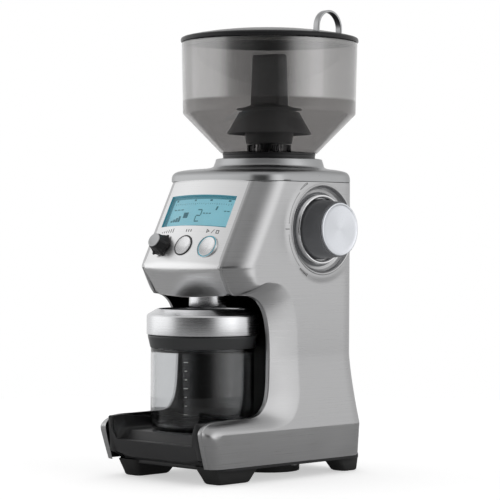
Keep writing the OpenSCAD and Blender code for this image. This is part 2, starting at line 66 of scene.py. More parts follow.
# Housing: the seam under the cap, the flared base and its band, the column and its rear corners
SEAM_Z = high("body_shell", Z)
BASE_HALF = high("body_shell", X)
BASE_BACK = high("body_shell", Y)
BAND_HIGH = 41
BODY_HALF = 61
BODY_BACK = 47
BACK_CORNER = 20
# Front panel: a bulged plate, tilted back above its crease and under below it
HEAD_Z = low("front_panel", Z)
PANEL_HALF = 46
PANEL_R = 200
CREASE_Z = 172
CREASE_Y = -104
TOP_Y = -67.5
LOW_Y = -90
CONTROL_V = 17.45
CONTROL_PITCH = 26
DIAL_Z = middle("dial_knob", Z)
JAR_Y = middle("jar", Y)
SPOUT_Y = middle("outlet_spout", Y)

TILT_UP = atan2(TOP_Y - CREASE_Y, SEAM_Z - CREASE_Z)
TILT_LOW = atan2(LOW_Y - CREASE_Y, CREASE_Z - HEAD_Z)
PANEL_UP = Vector((0, sin(TILT_UP), cos(TILT_UP)))
PANEL_OUT = Vector((0, -cos(TILT_UP), sin(TILT_UP)))
LOWER_DOWN = Vector((0, sin(TILT_LOW), -cos(TILT_LOW)))
LOWER_OUT = Vector((0, -cos(TILT_LOW), -sin(TILT_LOW)))

# ---------------------------------------------------------------- materials

LOOK = {}


def fill(tree, node, inputs):
    """Sets a node's inputs, each to a value or to another node's output"""
    for key, value in inputs.items():
        if isinstance(value, bpy.types.NodeSocket):
            tree.links.new(value, node.inputs[key])
        else:
            node.inputs[key].default_value = value
    return node


def put(tree, kind, inputs, **settings):
    """A new node with its settings and inputs"""
    node = tree.nodes.new("ShaderNode" + kind)
    for key, value in settings.items():
        setattr(node, key, value)
    return fill(tree, node, inputs)


def op(tree, kind, *values):
    return put(tree, "Math", dict(enumerate(values)), operation=kind).outputs["Value"]


def shader(name):
    """A new look: its node tree and its Principled node"""
    LOOK[name] = bpy.data.materials.new(name)
    LOOK[name].use_nodes = True
    tree = LOOK[name].node_tree
    return tree, tree.nodes["Principled BSDF"]


def noise(tree, scale, stretch=(1, 1, 1), detail=3, roughness=0.5):
    """A noise texture in the object's own coordinates, its cells stretched along each axis"""
    place = put(tree, "TexCoord", {}).outputs["Object"]
    mapping = put(tree, "Mapping", {"Vector": place, "Scale": stretch}).outputs["Vector"]
    inputs = {"Vector": mapping, "Scale": scale, "Detail": detail, "Roughness": roughness}
    return put(tree, "TexNoise", inputs).outputs["Fac"]


def spread(tree, value, lowest, highest, from_low=0.25, from_high=0.75):
    """Maps a texture's value to a range"""
    inputs = {"Value": value, "From Min": from_low, "From Max": from_high, "To Min": lowest,
              "To Max": highest}
    return put(tree, "MapRange", inputs).outputs["Result"]


def tint(tree, fac, dark, light):
    """A colour between two, by a texture's value"""
    return put(tree, "Mix", {"Factor": fac, 6: (*dark, 1), 7: (*light, 1)}, data_type="RGBA").outputs[2]


def bump(tree, height, strength, distance):
    return put(tree, "Bump", {"Height": height, "Strength": strength, "Distance": distance}).outputs["Normal"]


def edge_wear(tree, lift):
    """How much an outer edge is rubbed brighter"""
    return spread(tree, put(tree, "NewGeometry", {}).outputs["Pointiness"], 0, lift, 0.505, 0.58)


def scaled(colour, k):
    return tuple(min(1, c * k) for c in colour)


def metal(name, colour, rough, grain, depth=0.25, contrast=0.12, anisotropic=0.0, tangent=None, varied=0.08):
    """Brushed or spun metal. grain is the stretch of its fine scratches along each axis."""
    tree, bsdf = shader(name)
    scratches = noise(tree, 1, grain, detail=4, roughness=0.65)
    clouds = noise(tree, 28, detail=2)
    tone = op(tree, "ADD", spread(tree, scratches, 0.0, 0.8), spread(tree, clouds, 0.0, 0.2))
    tone = op(tree, "ADD", tone, edge_wear(tree, 0.35))
    rough_out = op(tree, "ADD", spread(tree, scratches, rough - varied, rough + varied),
                   spread(tree, clouds, -0.02, 0.03))
    fill(tree, bsdf, {
        "Metallic": 1, "Anisotropic": anisotropic, "Roughness": rough_out,
        "Base Color": tint(tree, tone, scaled(colour, 1 - contrast), scaled(colour, 1 + contrast * 0.6)),
        "Normal": bump(tree, scratches, depth, 0.00004)})
    if tangent:
        node = put(tree, "Tangent", {}, direction_type="RADIAL", axis=tangent)
        fill(tree, bsdf, {"Tangent": node.outputs["Tangent"]})


def plastic(name, colour, rough, texture=900, depth=0.12, wear=0.5, gloss=0.5):
    """Moulded plastic or rubber with a fine spark-eroded texture"""
    tree, bsdf = shader(name)
    grain = noise(tree, texture, detail=2)
    clouds = noise(tree, 22, detail=3)
    tone = op(tree, "ADD", spread(tree, clouds, 0, 0.6), edge_wear(tree, wear))
    rough_out = op(tree, "ADD", spread(tree, clouds, rough - 0.05, rough + 0.05),
                   spread(tree, grain, -0.04, 0.04))
    fill(tree, bsdf, {
        "Base Color": tint(tree, tone, scaled(colour, 0.82), scaled(colour, 1.36)), "Roughness": rough_out,
        "Normal": bump(tree, grain, depth, 0.00005), "Specular IOR Level": gloss})


def clear(name, colour, rough, ior=1.45, coat=None):
    """Transparent moulding with faint flow marks; coat is the index of a harder gloss on its upright wall"""
    tree, bsdf = shader(name)
    marks = noise(tree, 1, (30, 30, 9), detail=2)
    fine = noise(tree, 160, detail=2)
    fill(tree, bsdf, {
        "Transmission Weight": 1, "IOR": ior,
        "Base Color": tint(tree, marks, scaled(colour, 0.95), scaled(colour, 1.05)),
        "Roughness": spread(tree, fine, rough * 0.6, rough * 1.6), "Normal": bump(tree, marks, 0.15, 0.0002)})
    if coat:
        place = put(tree, "TexCoord", {}).outputs["Object"]
        height = put(tree, "SeparateXYZ", {"Vector": place}).outputs["Z"]
        wall = spread(tree, height, 0, 1, 0.3105, 0.3125)
        fill(tree, bsdf, {"Coat Weight": wall, "Coat IOR": coat, "Coat Roughness": rough})


def glow(name, colour, strength):
    """Lit plastic: a display, a light ring, and the display's reveal, whose darker glow is painted shade"""
    tree, bsdf = shader(name)
    clouds = noise(tree, 60, detail=2)
    lit = tint(tree, clouds, scaled(colour, 0.93), scaled(colour, 1.07))
    fill(tree, bsdf, {"Base Color": lit, "Emission Color": lit, "Emission Strength": strength,
                      "Roughness": spread(tree, clouds, 0.30, 0.40)})


HORIZONTAL = (14, 14, 2600)
RADIAL = (700, 700, 700)
metal("brushed_steel", (0.54, 0.54, 0.545), 0.32, HORIZONTAL, 0.30, 0.12)
metal("panel_steel", (0.86, 0.86, 0.865), 0.32, HORIZONTAL, 0.12, 0.06)
metal("cap_metal", (0.44, 0.445, 0.45), 0.30, (60, 60, 500), 0.03, 0.04, varied=0.03)
metal("spun_steel", (0.82, 0.825, 0.84), 0.24, HORIZONTAL, 0.2, 0.1)
metal("dish_steel", (0.80, 0.80, 0.81), 0.27, RADIAL, 0.05, 0.05, 0.9, "Z")
metal("dial_face", (0.80, 0.82, 0.86), 0.34, RADIAL, 0.05, 0.05, 0.6, "Z")
metal("chrome", (0.86, 0.86, 0.87), 0.09, (200, 200, 200), 0.03, 0.04, varied=0.03)
metal("machined_steel", (0.55, 0.555, 0.56), 0.3, (600, 600, 600), 0.1)
metal("motor_zinc", (0.5, 0.51, 0.52), 0.4, (120, 120, 120), 0.08)
metal("copper_winding", (0.62, 0.27, 0.11), 0.35, (60, 60, 1800), 0.3)
metal("brass", (0.72, 0.52, 0.22), 0.28, (500, 500, 500), 0.1)
plastic("black_plastic", (0.012, 0.012, 0.013), 0.42)
plastic("liner_plastic", (0.004, 0.004, 0.0045), 0.45, depth=0.05, gloss=0.2)
plastic("dark_plastic", (0.03, 0.031, 0.032), 0.34)
plastic("fin_plastic", (0.3, 0.304, 0.312), 0.32, depth=0.05)
plastic("barrel_plastic", (0.13, 0.133, 0.14), 0.4, depth=0.06)
plastic("tray_plastic", (0.02, 0.02, 0.021), 0.36)
plastic("lid_plastic", (0.018, 0.018, 0.019), 0.25, depth=0.05, gloss=0.22)
plastic("silicone", (0.72, 0.72, 0.70), 0.5)
plastic("rubber", (0.012, 0.012, 0.012), 0.62, texture=1400, wear=0.3)
plastic("lcd_ink", (0.05, 0.24, 0.31), 0.5)
plastic("ink", (0.06, 0.06, 0.06), 0.6)
plastic("circuit_green", (0.03, 0.16, 0.07), 0.35)
plastic("gear_nylon", (0.75, 0.71, 0.55), 0.4)
plastic("carrier_plastic", (0.03, 0.16, 0.20), 0.4)
clear("smoke_clear", (0.47, 0.46, 0.455), 0.02, 1.3, coat=2.5)
clear("guard_clear", (0.45, 0.45, 0.46), 0.08, 1.6)
clear("jar_clear", (0.80, 0.81, 0.82), 0.02)
clear("lcd_glass", (0.95, 0.98, 0.99), 0.02, 1.2)
glow("lcd_blue", (0.25, 0.58, 0.68), 0.42)
# The reveal's darker teal glow is painted shade of the display's recess
glow("lcd_reveal_shade", (0.07, 0.32, 0.40), 0.25)
glow("light_teal", (0.06, 0.33, 0.42), 0.5)

# ---------------------------------------------------------------- mesh tools


def piece(name, part, look, body, *nodes, slot=None, sharp=32, place=None):
    """A mesh from points in millimetres and faces, finished, placed and riding on a body"""
    verts, faces = part
    mesh = bpy.data.meshes.new(name)
    mesh.from_pydata([Vector(v) * MM for v in verts], [], faces)
    bm = bmesh.new()
    bm.from_mesh(mesh)
    bmesh.ops.remove_doubles(bm, verts=bm.verts, dist=2e-6)
    bmesh.ops.dissolve_degenerate(bm, edges=bm.edges, dist=1e-7)
    bmesh.ops.recalc_face_normals(bm, faces=bm.faces)
    bm.to_mesh(mesh)
    bm.free()
    mesh.polygons.foreach_set("use_smooth", [True] * len(mesh.polygons))
    mesh.set_sharp_from_angle(angle=radians(sharp))
    mesh.materials.append(LOOK[look])
    obj = bpy.data.objects.new(name, mesh)
    bpy.context.collection.objects.link(obj)
    if place is not None:
        obj.matrix_world = place
    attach(obj, body)
    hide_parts(*nodes)


def sheet(rows, wrap_rows=False, wrap_columns=False, caps=False):
    """Points and faces of a grid, from its rows of points; caps close the first and last row"""
    n = len(rows[0])
    verts, faces = [p for row in rows for p in row], []
    for i in range(len(rows) if wrap_rows else len(rows) - 1):
        a, b = i * n, (i + 1) % len(rows) * n
        for j in range(n if wrap_columns else n - 1):
            k = (j + 1) % n
            faces.append((a + j, a + k, b + k, b + j))
    if caps:
        faces += [tuple(range(n)), tuple(range(len(verts) - n, len(verts)))]
    return verts, faces


def merged(parts):
    """Joins several (points, faces) into one"""
    verts, faces = [], []
    for points, quads in parts:
        base = len(verts)
        verts += points
        faces += [tuple(base + i for i in f) for f in quads]
    return verts, faces


def moved(part, place):
    verts, faces = part
    return [place @ Vector(v) for v in verts], faces


def span(a, b, step=2.0):
    n = max(1, round((b - a) / step))
    return [a + (b - a) * i / n for i in range(n + 1)]


def circle(r, n):
    return [(r * cos(2 * pi * k / n), r * sin(2 * pi * k / n)) for k in range(n)]


def border(us, vs):
    """The points round the edge of a rectangle"""
    return ([(u, vs[0]) for u in us[:-1]] + [(us[-1], v) for v in vs[:-1]] +
            [(u, vs[-1]) for u in reversed(us[1:])] + [(us[0], v) for v in reversed(vs[1:])])


def layers(point, us, vs, *depths):
    """One grid behind another, each point placed by its u, v and depth"""
    return merged([sheet([[point(u, v, depth) for u in us] for v in vs]) for depth in depths])


def mark(point, outline, front, back):
    """A thin four-cornered mark without a back"""
    return ([point(u, v, depth) for depth in (front, back) for u, v in outline],
            [(0, 1, 2, 3), (0, 1, 5, 4), (1, 2, 6, 5), (2, 3, 7, 6), (3, 0, 4, 7)])


def filleted(points, steps=5):
    """An outline of (x, y, radius): each corner is rounded to its radius"""
    out = []
    for i, (x, y, radius) in enumerate(points):
        if not radius:
            out.append((x, y))
            continue
        here = Vector((x, y))
        to_last = Vector(points[i - 1][:2]) - here
        to_next = Vector(points[(i + 1) % len(points)][:2]) - here
        half = to_last.angle(to_next) / 2
        reach = min(radius / tan(half), 0.48 * to_last.length, 0.48 * to_next.length)
        a, b = to_last.normalized(), to_next.normalized()
        centre = here + (a + b).normalized() * (reach * tan(half) / sin(half))
        first, last = here + a * reach - centre, here + b * reach - centre
        turn = first.angle_signed(last)
        for k in range(steps + 1):
            c, s = cos(turn * k / steps), -sin(turn * k / steps)
            out.append((centre.x + first.x * c - first.y * s, centre.y + first.x * s + first.y * c))
    return out


def lathe(name, profile, look, body, *nodes, count=160, open_ends=False, shape=None, **more):
    """Turns an outline of (radius, height) round the piece's own Z; shape may change a radius by its angle"""
    rows = []
    for i in range(count):
        a = 2 * pi * i / count
        reaches = [(shape(r, h, a) if shape else r, h) for r, h in profile]
        rows.append([(r * cos(a), r * sin(a), h) for r, h in reaches])
    piece(name, sheet(rows, wrap_rows=True, wrap_columns=not open_ends), look, body, *nodes, **more)


def slab(outline, z0, z1, round_r=0.6, steps=3):
    """A prism from an outline, its two end edges rounded"""
    n = len(outline)
    centre = Vector((sum(p[0] for p in outline) / n, sum(p[1] for p in outline) / n))

    def ring(inset, z):
        points = []
        for i in range(n):
            here = Vector(outline[i])
            along = (Vector(outline[(i + 1) % n]) - Vector(outline[i - 1]))
            normal = Vector((along.y, -along.x)).normalized()
            if normal.dot(here - centre) < 0 and n < 9:
                normal = -normal
            points.append((*(here - normal * inset), z))
        return points
    levels = [(round_r * (1 - sin(a)), z0 + round_r * (1 - cos(a)))
              for a in (pi / 2 * k / steps for k in range(steps + 1))]
    levels += [(inset, z0 + z1 - z) for inset, z in reversed(levels)]
    return sheet([ring(inset, z) for inset, z in levels], wrap_columns=True, caps=True)


def at(x, y, z=0.0):
    return Matrix.Translation(Vector((x, y, z)) * MM)


def facing(origin, right, up, out):
    """A frame whose own X, Y and Z point along three directions"""
    turn = Matrix((right, up, out)).transposed().to_4x4()
    return Matrix.Translation(Vector(origin) * MM) @ turn


def spline(keys, t):
    """Catmull-Rom through a list of equal-length tuples, t from 0 to len - 1"""
    i = min(int(t), len(keys) - 2)
    f = t - i
    near = (keys[max(0, min(len(keys) - 1, i + k))] for k in (-1, 0, 1, 2))
    return [0.5 * (2 * b + (c - a) * f + (2 * a - 5 * b + 4 * c - d) * f * f +
                   (3 * b - a - 3 * c + d) * f ** 3)
            for a, b, c, d in zip(*near)]


def smooth(t):
    t = max(0.0, min(1.0, t))
    return t * t * (3 - 2 * t)


def blend_of(a, b, t):
    return a + (b - a) * t


# ---------------------------------------------------------------- housing


def flare(z):
    """0 on the upright column, 1 at the base band"""
    t = max(0.0, min(1.0, (z - BAND_HIGH) / 59))
    return (1 - t) ** 1.35


def side_at(y, z):
    """Half width of the housing, and its swelling round the grind dial"""
    wide = blend_of(BODY_HALF, BASE_HALF, flare(z)) - 2 * max(0.0, BAND_HIGH - z) / 27
    return wide, 0.9 * smooth((SWELL_R - hypot(y, z - DIAL_Z)) / 8)


def back_at(z):
    return blend_of(BODY_BACK, BASE_BACK, flare(z))


SWELL_R = 46
DISH_R = 37.0
GLAND_X, GLAND_Z, GLAND_R = 24, 28, 6.6
# Edge of the flank from the top seam round the jar's bay to the foot of the arm:
# edge y, z, x; where the flank meets the side y, z; height on the rear corner; curve; slope at the side
FLANK = [
    (TOP_Y, 242.4, 46, -42.7, 242.4, 242.4, 0.53, 0.0),
    (-85.8, 207.0, 46, -61.0, 207.0, 222.0, 0.53, 0.0),
    (-98.4, 182.8, 46, -73.6, 183.5, 205.0, 0.53, 0.0),
    (-102.3, 174.9, 46, -77.6, 176.4, 198.0, 0.53, 0.0),
    (-103.3, 172.0, 46, -78.4, 173.2, 196.0, 0.53, 0.01),
    (-102.0, 169.4, 46, -78.2, 171.0, 194.0, 0.53, 0.02),
    (-97.2, 161.4, 46, -78.0, 164.6, 188.0, 0.53, 0.03),
    (-90.6, 151.2, 46.2, -74.6, 158.6, 180.0, 0.54, 0.05),
    (-84.5, 150.2, 50.8, -66.4, 160.0, 172.0, 0.54, 0.09),
    (-78.0, 149.6, 53.6, -57.6, 160.0, 164.0, 0.54, 0.12),
    (-71.0, 147.2, 54.6, -48.0, 158.0, 157.0, 0.55, 0.13),
    (-65.0, 142.6, 54.8, -41.0, 152.6, 149.0, 0.53, 0.13),
    (-60.6, 135.6, 54.9, -35.4, 145.0, 141.0, 0.52, 0.13),
    (-57.6, 125.6, 55.0, -31.2, 132.5, 130.0, 0.52, 0.13),
    (-56.2, 112.0, 55.2, -29.0, 116.0, 114.0, 0.52, 0.13),
    (-56.4, 92.0, 55.6, -28.2, 93.0, 93.0, 0.52, 0.13),
    (-57.6, 73.5, 55.9, -28.2, 72.0, 72.0, 0.52, 0.13),
    (-60.2, 63.0, 56.0, -30.4, 61.5, 60.0, 0.52, 0.13),
    (-65.6, 55.8, 56.1, -34.6, 53.6, 52.5, 0.53, 0.13),
    (-73.0, 52.2, 56.2, -42.0, 47.2, 47.0, 0.55, 0.13),
    (-84.0, 51.0, 56.3, -57.0, 43.2, 42.5, 0.57, 0.13),
    (-103.0, 50.6, 56.4, -85.0, 42.2, 38.0, 0.60, 0.13),
    (-121.0, 50.2, 56.6, -110.0, 42.2, 33.0, 0.66, 0.13),
    (-129.0, 48.4, 57.0, -119.5, 41.4, 29.5, 0.80, 0.08),
    (-133.6, 45.0, 57.2, -123.6, 38.4, 27.0, 0.93, 0.02),
    (-135.3, 40.6, 57.3, -124.8, 34.6, 24.5, 0.98, 0.0),
    (-132.6, 29.6, 57.3, -121.4, 27.0, 20.0, 0.98, 0.0),
    (-127.7, 14.0, 57.0, -116.5, 14.0, 14.0, 0.98, 0.0),
]
FLANK_ROWS = 260
# The sheet's rolled edge, turned inwards: how far in, how far along
RETURN = ((3.6, -1.6), (0.9, -1.25), (0.35, -0.85), (0.08, -0.4))


def flank_row(s):
    """One row of the skin: from the flank's inner edge, over the flank and side, to the middle of the back"""
    ey, ez, ex, cy, cz, rz, curve, slope = spline(FLANK, s)
    side, _ = side_at(cy, cz)
    width = hypot(cy - ey, cz - ez)
    ahead = Vector((cy - ey, cz - ez)) / width
    points = [Vector((ex - inset, ey + ahead.x * rise * 0.6, ez + ahead.y * rise * 0.6))
              for inset, rise in RETURN]
    steps = 16
    for i in range(steps + 1):
        t = 1 - i / steps
        knee = 2 * t * (1 - t) * curve * width
        w, x = knee + t * t * width, knee * slope + t * t * (side - ex)
        y, z = cy - ahead.x * w, cz - ahead.y * w
        grow = side_at(y, z)[0] - side
        points.append(Vector((side + grow * (1 - t) - x, y, z)))
    corner_y = back_at(rz) - BACK_CORNER
    start, end = Vector((cy, cz)), Vector((corner_y, rz))
    along = 44
    first = 0.7 / max(1.0, (end - start).length)
    for i in range(along):
        y, z = start.lerp(end, first + (1 - first) * i / (along - 1))
        points.append(Vector((sum(side_at(y, z)), y, z)))
    for i in range(1, 13):
        a = pi / 2 * i / 12
        y = corner_y + BACK_CORNER * sin(a)
        wide, swell = side_at(y, rz)
        points.append(Vector((wide - BACK_CORNER * (1 - cos(a)) + swell * cos(a) ** 2, y, rz)))
    last_x = points[-1].x
    points += [Vector((last_x * (1 - i / 8), back_at(rz), rz)) for i in range(1, 9)]
    return points


def body_shell():
    """The right side with its holes for the dial and the cord, and its mirror image without them"""
    rows = [flank_row(s * (len(FLANK) - 1) / FLANK_ROWS) for s in range(FLANK_ROWS + 1)]
    verts, faces = sheet(rows)

    def rimmed(p):
        """How far a point is outside the nearest hole, and the same point pushed out to the hole's rim"""
        y, z = p.y, p.z - DIAL_Z
        r = hypot(y, z)
        if p.x > 30 and r < DISH_R + 6:
            k = DISH_R / max(1, r)
            return r - DISH_R, Vector((p.x, y * k, DIAL_Z + z * k))
        x, z = p.x - GLAND_X, p.z - GLAND_Z
        r = hypot(x, z)
        if p.y > BASE_BACK - 1 and r < 12:
            k = GLAND_R / max(0.5, r)
            return r - GLAND_R, Vector((GLAND_X + x * k, p.y, GLAND_Z + z * k))
        return 9, p
    holes = [rimmed(p) for p in verts]
    right_faces = [f for f in faces if any(holes[i][0] > 0 for i in f)]
    used = sorted({i for f in right_faces for i in f})
    index = {old: new for new, old in enumerate(used)}
    right = [verts[i] if holes[i][0] > 0 else holes[i][1] for i in used]
    left = [Vector((-p.x, p.y, p.z)) for p in verts]
    for p in left:
        if hypot(p.y, p.z - DIAL_Z) < SWELL_R and p.x < -30:
            p.x += side_at(p.y, p.z)[1]
    right_faces = [tuple(index[i] for i in f) for f in right_faces]
    skin = merged([(right, right_faces), (left, [f[::-1] for f in faces])])
    piece("housing_skin", skin, "brushed_steel", "housing", "body_shell", sharp=40)


def bay_liner():
    """Black channel behind the jar, swept between the two flanks' inner edges"""
    keys = [
        (-92.0, 150.2, 44.0, -92.0, 150.2),
        (-84.5, 149.4, 49.6, -80.0, 150.2),
        (-78.0, 148.8, 52.4, -68.0, 150.0),
        (-71.0, 146.4, 52.6, -54.0, 149.0),
        (-64.6, 142.0, 52.6, -41.0, 146.0),
        (-60.0, 135.0, 52.6, -31.0, 138.5),
        (-57.0, 125.0, 52.6, -26.5, 126.0),
        (-55.6, 112.0, 52.6, -25.4, 112.0),
        (-55.8, 92.0, 52.8, -25.2, 92.0),
        (-57.0, 73.0, 53.0, -25.2, 72.0),
        (-59.6, 62.4, 53.2, -25.4, 58.0),
        (-65.0, 55.2, 53.4, -26.0, 47.0),
        (-72.4, 51.0, 53.6, -27.0, 40.0),
    ]
    rows = []
    steps, across = 72, 48
    for s in range(steps + 1):
        ey, ez, ex, my, mz = spline(keys, s * (len(keys) - 1) / steps)
        row = []
        for i in range(across + 1):
            c = cos(pi * i / across)
            # A flat back with round corners, as a superellipse
            reach = (1 - abs(c) ** 3.2) ** (1 / 3.2)
            row.append((ex * copysign(abs(c) ** 0.72, c), blend_of(ey, my, reach), blend_of(ez, mz, reach)))
        rows.append(row)
    piece("bay_liner", sheet(rows), "liner_plastic", "housing", "recess_liner", sharp=60)


def bulge(u):
    """How far the panel stands proud of the chord between its edges"""
    return sqrt(PANEL_R ** 2 - u * u) - sqrt(PANEL_R ** 2 - PANEL_HALF ** 2)


FLANK_DEEP, FLANK_WIDE, FLANK_CURVE = 24.8, 15, 0.73


def head_outline(inset=0.0, count=12):
    """Plan of the head at the seam"""
    front, half, back = TOP_Y + inset, BODY_HALF - inset, BODY_BACK - inset
    corner = BACK_CORNER - inset
    turns = [pi / 2 * i / count for i in range(count + 1)]
    points = [(half - corner + corner * cos(a), back - corner + corner * sin(a)) for a in turns]
    points += [(-x, y) for x, y in reversed(points)]
    flank = []
    for i in range(count + 1):
        t = i / count
        w = 2 * t * (1 - t) * FLANK_CURVE * FLANK_DEEP + t * t * FLANK_DEEP
        flank.append((half - FLANK_WIDE * t * t, front + FLANK_DEEP - w))
    points += [(-x, y) for x, y in flank]
    points += [(u, front - bulge(u)) for u in (PANEL_HALF * (i / 12 - 1) for i in range(1, 24))]
    points += reversed(flank)
    dense = []
    for (x0, y0), (x1, y1) in zip(points, points[1:] + points[:1]):
        steps = max(1, round(hypot(x1 - x0, y1 - y0) / 3))
        dense += [(x0 + (x1 - x0) * k / steps, y0 + (y1 - y0) * k / steps) for k in range(steps)]
    return dense


COLLAR_R = 46.2
LEDGE_Z = 250.0


def top_cap():
    """Shoulder from the seam up to the hopper's round collar"""
    # How much of the head's plan is left, height above the seam, inset
    shoulder = [
        (1.0, -0.5, 0.9), (1.0, 0.0, 0.5), (1.0, 0.35, 0.0), (1.0, 2.4, 0.0), (1.0, 4.2, 0.15),
        (0.99, 5.6, 0.3), (0.965, 6.9, 0.4), (0.92, 8.0, 0.3), (0.85, 8.9, 0.1), (0.74, 9.7, 0),
        (0.6, 10.4, 0), (0.45, 10.9, 0), (0.3, 11.3, 0), (0.18, 11.7, 0), (0.09, 12.3, 0), (0.035, 13.1, 0),
        (0.01, 14.2, 0), (0.0, 15.4, 0)]
    collar = [(45.4, 17.6), (45.1, 18.9), (44.9, 19.4), (44.4, 19.85), (43.6, 20.0), (41.6, 20.0),
              (40.8, 19.8), (40.4, 19.3), (40.35, 17.0), (40.2, 10.5)]
    plan = [(x, y, hypot(x, y)) for x, y in head_outline()]
    rings = [([COLLAR_R + (r - COLLAR_R) * k - inset for _, _, r in plan], up) for k, up, inset in shoulder]
    rings += [([reach] * len(plan), up) for reach, up in collar]
    rows = [[(x / r * reach, y / r * reach, SEAM_Z + up) for (x, y, r), reach in zip(plan, reaches)]
            for reaches, up in rings]
    piece("top_cap_shoulder", sheet(rows, wrap_columns=True), "cap_metal", "housing", "top_cap", sharp=50)
    # The well under the collar: its wall, the ledge that the hopper rests on and the throat
    top, foot = SEAM_Z + 10.6, SEAM_Z + 0.6
    well = [(40.4, top, 0), (40.4, LEDGE_Z, 0), (36.0, LEDGE_Z, 0.4), (36.0, foot, 0), (37.0, foot, 0),
            (37.0, LEDGE_Z - 1, 0), (41.2, LEDGE_Z - 1, 0), (41.2, top, 0)]
    lathe("cap_well", filleted(well, 4), "liner_plastic", "housing", count=180)


# ---------------------------------------------------------------- front panel

ELBOW_R = 4.0
UPPER_LENGTH = (SEAM_Z - CREASE_Z) / cos(TILT_UP)
LOWER_LENGTH = (CREASE_Z - HEAD_Z) / cos(TILT_LOW)
PLATE_LOW, PLATE_HIGH = -LOWER_LENGTH + 0.3, UPPER_LENGTH - 0.6
LCD_LOW, LCD_HIGH = 35.6, 64.2
LCD_LEFT, LCD_RIGHT = -38.0, 37.0


def upper_point(u, v, depth=0.0):
    """A point of the panel's upper plane: u across, v up from the crease, depth behind its face"""
    return Vector((u, CREASE_Y, CREASE_Z)) + PANEL_UP * v + PANEL_OUT * (bulge(u) - depth)


def panel_point(u, v, depth=0.0):
    """A point of the whole panel, whose v goes on round the crease to the lower plane"""
    turn = TILT_UP + TILT_LOW
    reach = ELBOW_R * tan(turn / 2)
    if v >= reach:
        return upper_point(u, v, depth)
    crease = Vector((u, CREASE_Y, CREASE_Z))
    if v <= -reach:
        return crease - LOWER_DOWN * v + LOWER_OUT * (bulge(u) - depth)
    out = Matrix.Rotation(turn * (1 - (v + reach) / (2 * reach)), 3, "X") @ PANEL_OUT
    return crease + PANEL_UP * reach - PANEL_OUT * ELBOW_R + out * (ELBOW_R + bulge(u) - depth)


def seam_shade_strips():
    """Black strips painted as the shade in the joint under the cap and in the grooves beside the front panel
    """
    # A black band round the seam under the cap: painted shade of the joint
    rows = [[(x, y, SEAM_Z + rise) for x, y in head_outline(1.6)] for rise in (-3, 3)]
    piece("cap_seam_shade", sheet(rows, wrap_columns=True), "liner_plastic", "housing")
    # Black strips set into the grooves beside the panel: painted shade of the grooves
    vs = span(PLATE_LOW, PLATE_HIGH)
    strips = [layers(panel_point, (side * 45.0, side * 46.3), vs, 0.3) for side in (-1, 1)]
    piece("panel_seam_shade", merged(strips), "liner_plastic", "housing")


def flat_patch(us, vs):
    return sheet([[(u, v) for u in us] for v in vs])


def holed_patch(us, vs, x, y, radius, rings=6):
    """A rectangle with a round hole: rings of quads from its border in to the hole"""
    rows = []
    for k in range(rings + 1):
        t = (k / rings) ** 0.8
        row = []
        for u, v in border(us, vs):
            a = atan2(v - y, u - x)
            row.append((blend_of(u, x + radius * cos(a), t), blend_of(v, y + radius * sin(a), t)))
        rows.append(row)
    return sheet(rows, wrap_columns=True)


def front_panel():
    edge = PANEL_HALF - 1.3
    square = 11.5
    us = [-edge, -CONTROL_PITCH - square, -CONTROL_PITCH + square, -square, square,
          CONTROL_PITCH - square, CONTROL_PITCH + square, edge]
    low_row, high_row = CONTROL_V - square, CONTROL_V + square
    all_u = sorted({round(u, 5) for a, b in zip(us, us[1:]) for u in span(a, b)} |
                   {LCD_LEFT + 1.5, LCD_RIGHT - 1.5})
    controls_row, display_row = span(low_row, high_row), span(LCD_LOW, LCD_HIGH)
    parts = [flat_patch(all_u, span(PLATE_LOW, low_row, 1.2)), flat_patch(all_u, span(high_row, LCD_LOW)),
             flat_patch(all_u, span(LCD_HIGH, PLATE_HIGH))]
    holes = {1: (-CONTROL_PITCH, 3.4), 3: (0, 9.25), 5: (CONTROL_PITCH, 9.85)}
    for i in range(7):
        strip = [u for u in all_u if us[i] - 1e-4 <= u <= us[i + 1] + 1e-4]
        if i in holes:
            x, radius = holes[i]
            parts.append(holed_patch(strip, controls_row, x, CONTROL_V, radius))
        else:
            parts.append(flat_patch(strip, controls_row))
    parts.append(flat_patch([u for u in all_u if u <= LCD_LEFT - 0.3] + [LCD_LEFT], display_row))
    parts.append(flat_patch([LCD_RIGHT] + [u for u in all_u if u >= LCD_RIGHT + 0.3], display_row))
    points, faces = merged(parts)
    parts = [([panel_point(u, v) for u, v in points], faces)]
    # Rounded outer edge of the plate
    rim = []
    for out, depth in ((0, 0), (0.12, 0.05), (0.22, 0.2), (0.25, 0.5), (0.25, 2.0)):
        ring = []
        for u, v in border(all_u, span(PLATE_LOW, PLATE_HIGH, 1.2)):
            du = copysign(out, u) if abs(u) > edge - 0.01 else 0
            dv = out if v > PLATE_HIGH - 0.01 else (-out if v < PLATE_LOW + 0.01 else 0)
            ring.append(panel_point(u, v, depth) + Vector((du, 0, 0)) + PANEL_UP * dv)
        rim.append(ring)
    parts.append(sheet(rim, wrap_columns=True))
    # Walls of the round holes
    for x, radius in holes.values():
        rows = [[panel_point(x + u, CONTROL_V + v, depth) for u, v in circle(radius, 96)] for depth in (0, 2)]
        parts.append(sheet(rows, wrap_columns=True))
    piece("panel_plate", merged(parts), "panel_steel", "housing", "front_panel", sharp=35)


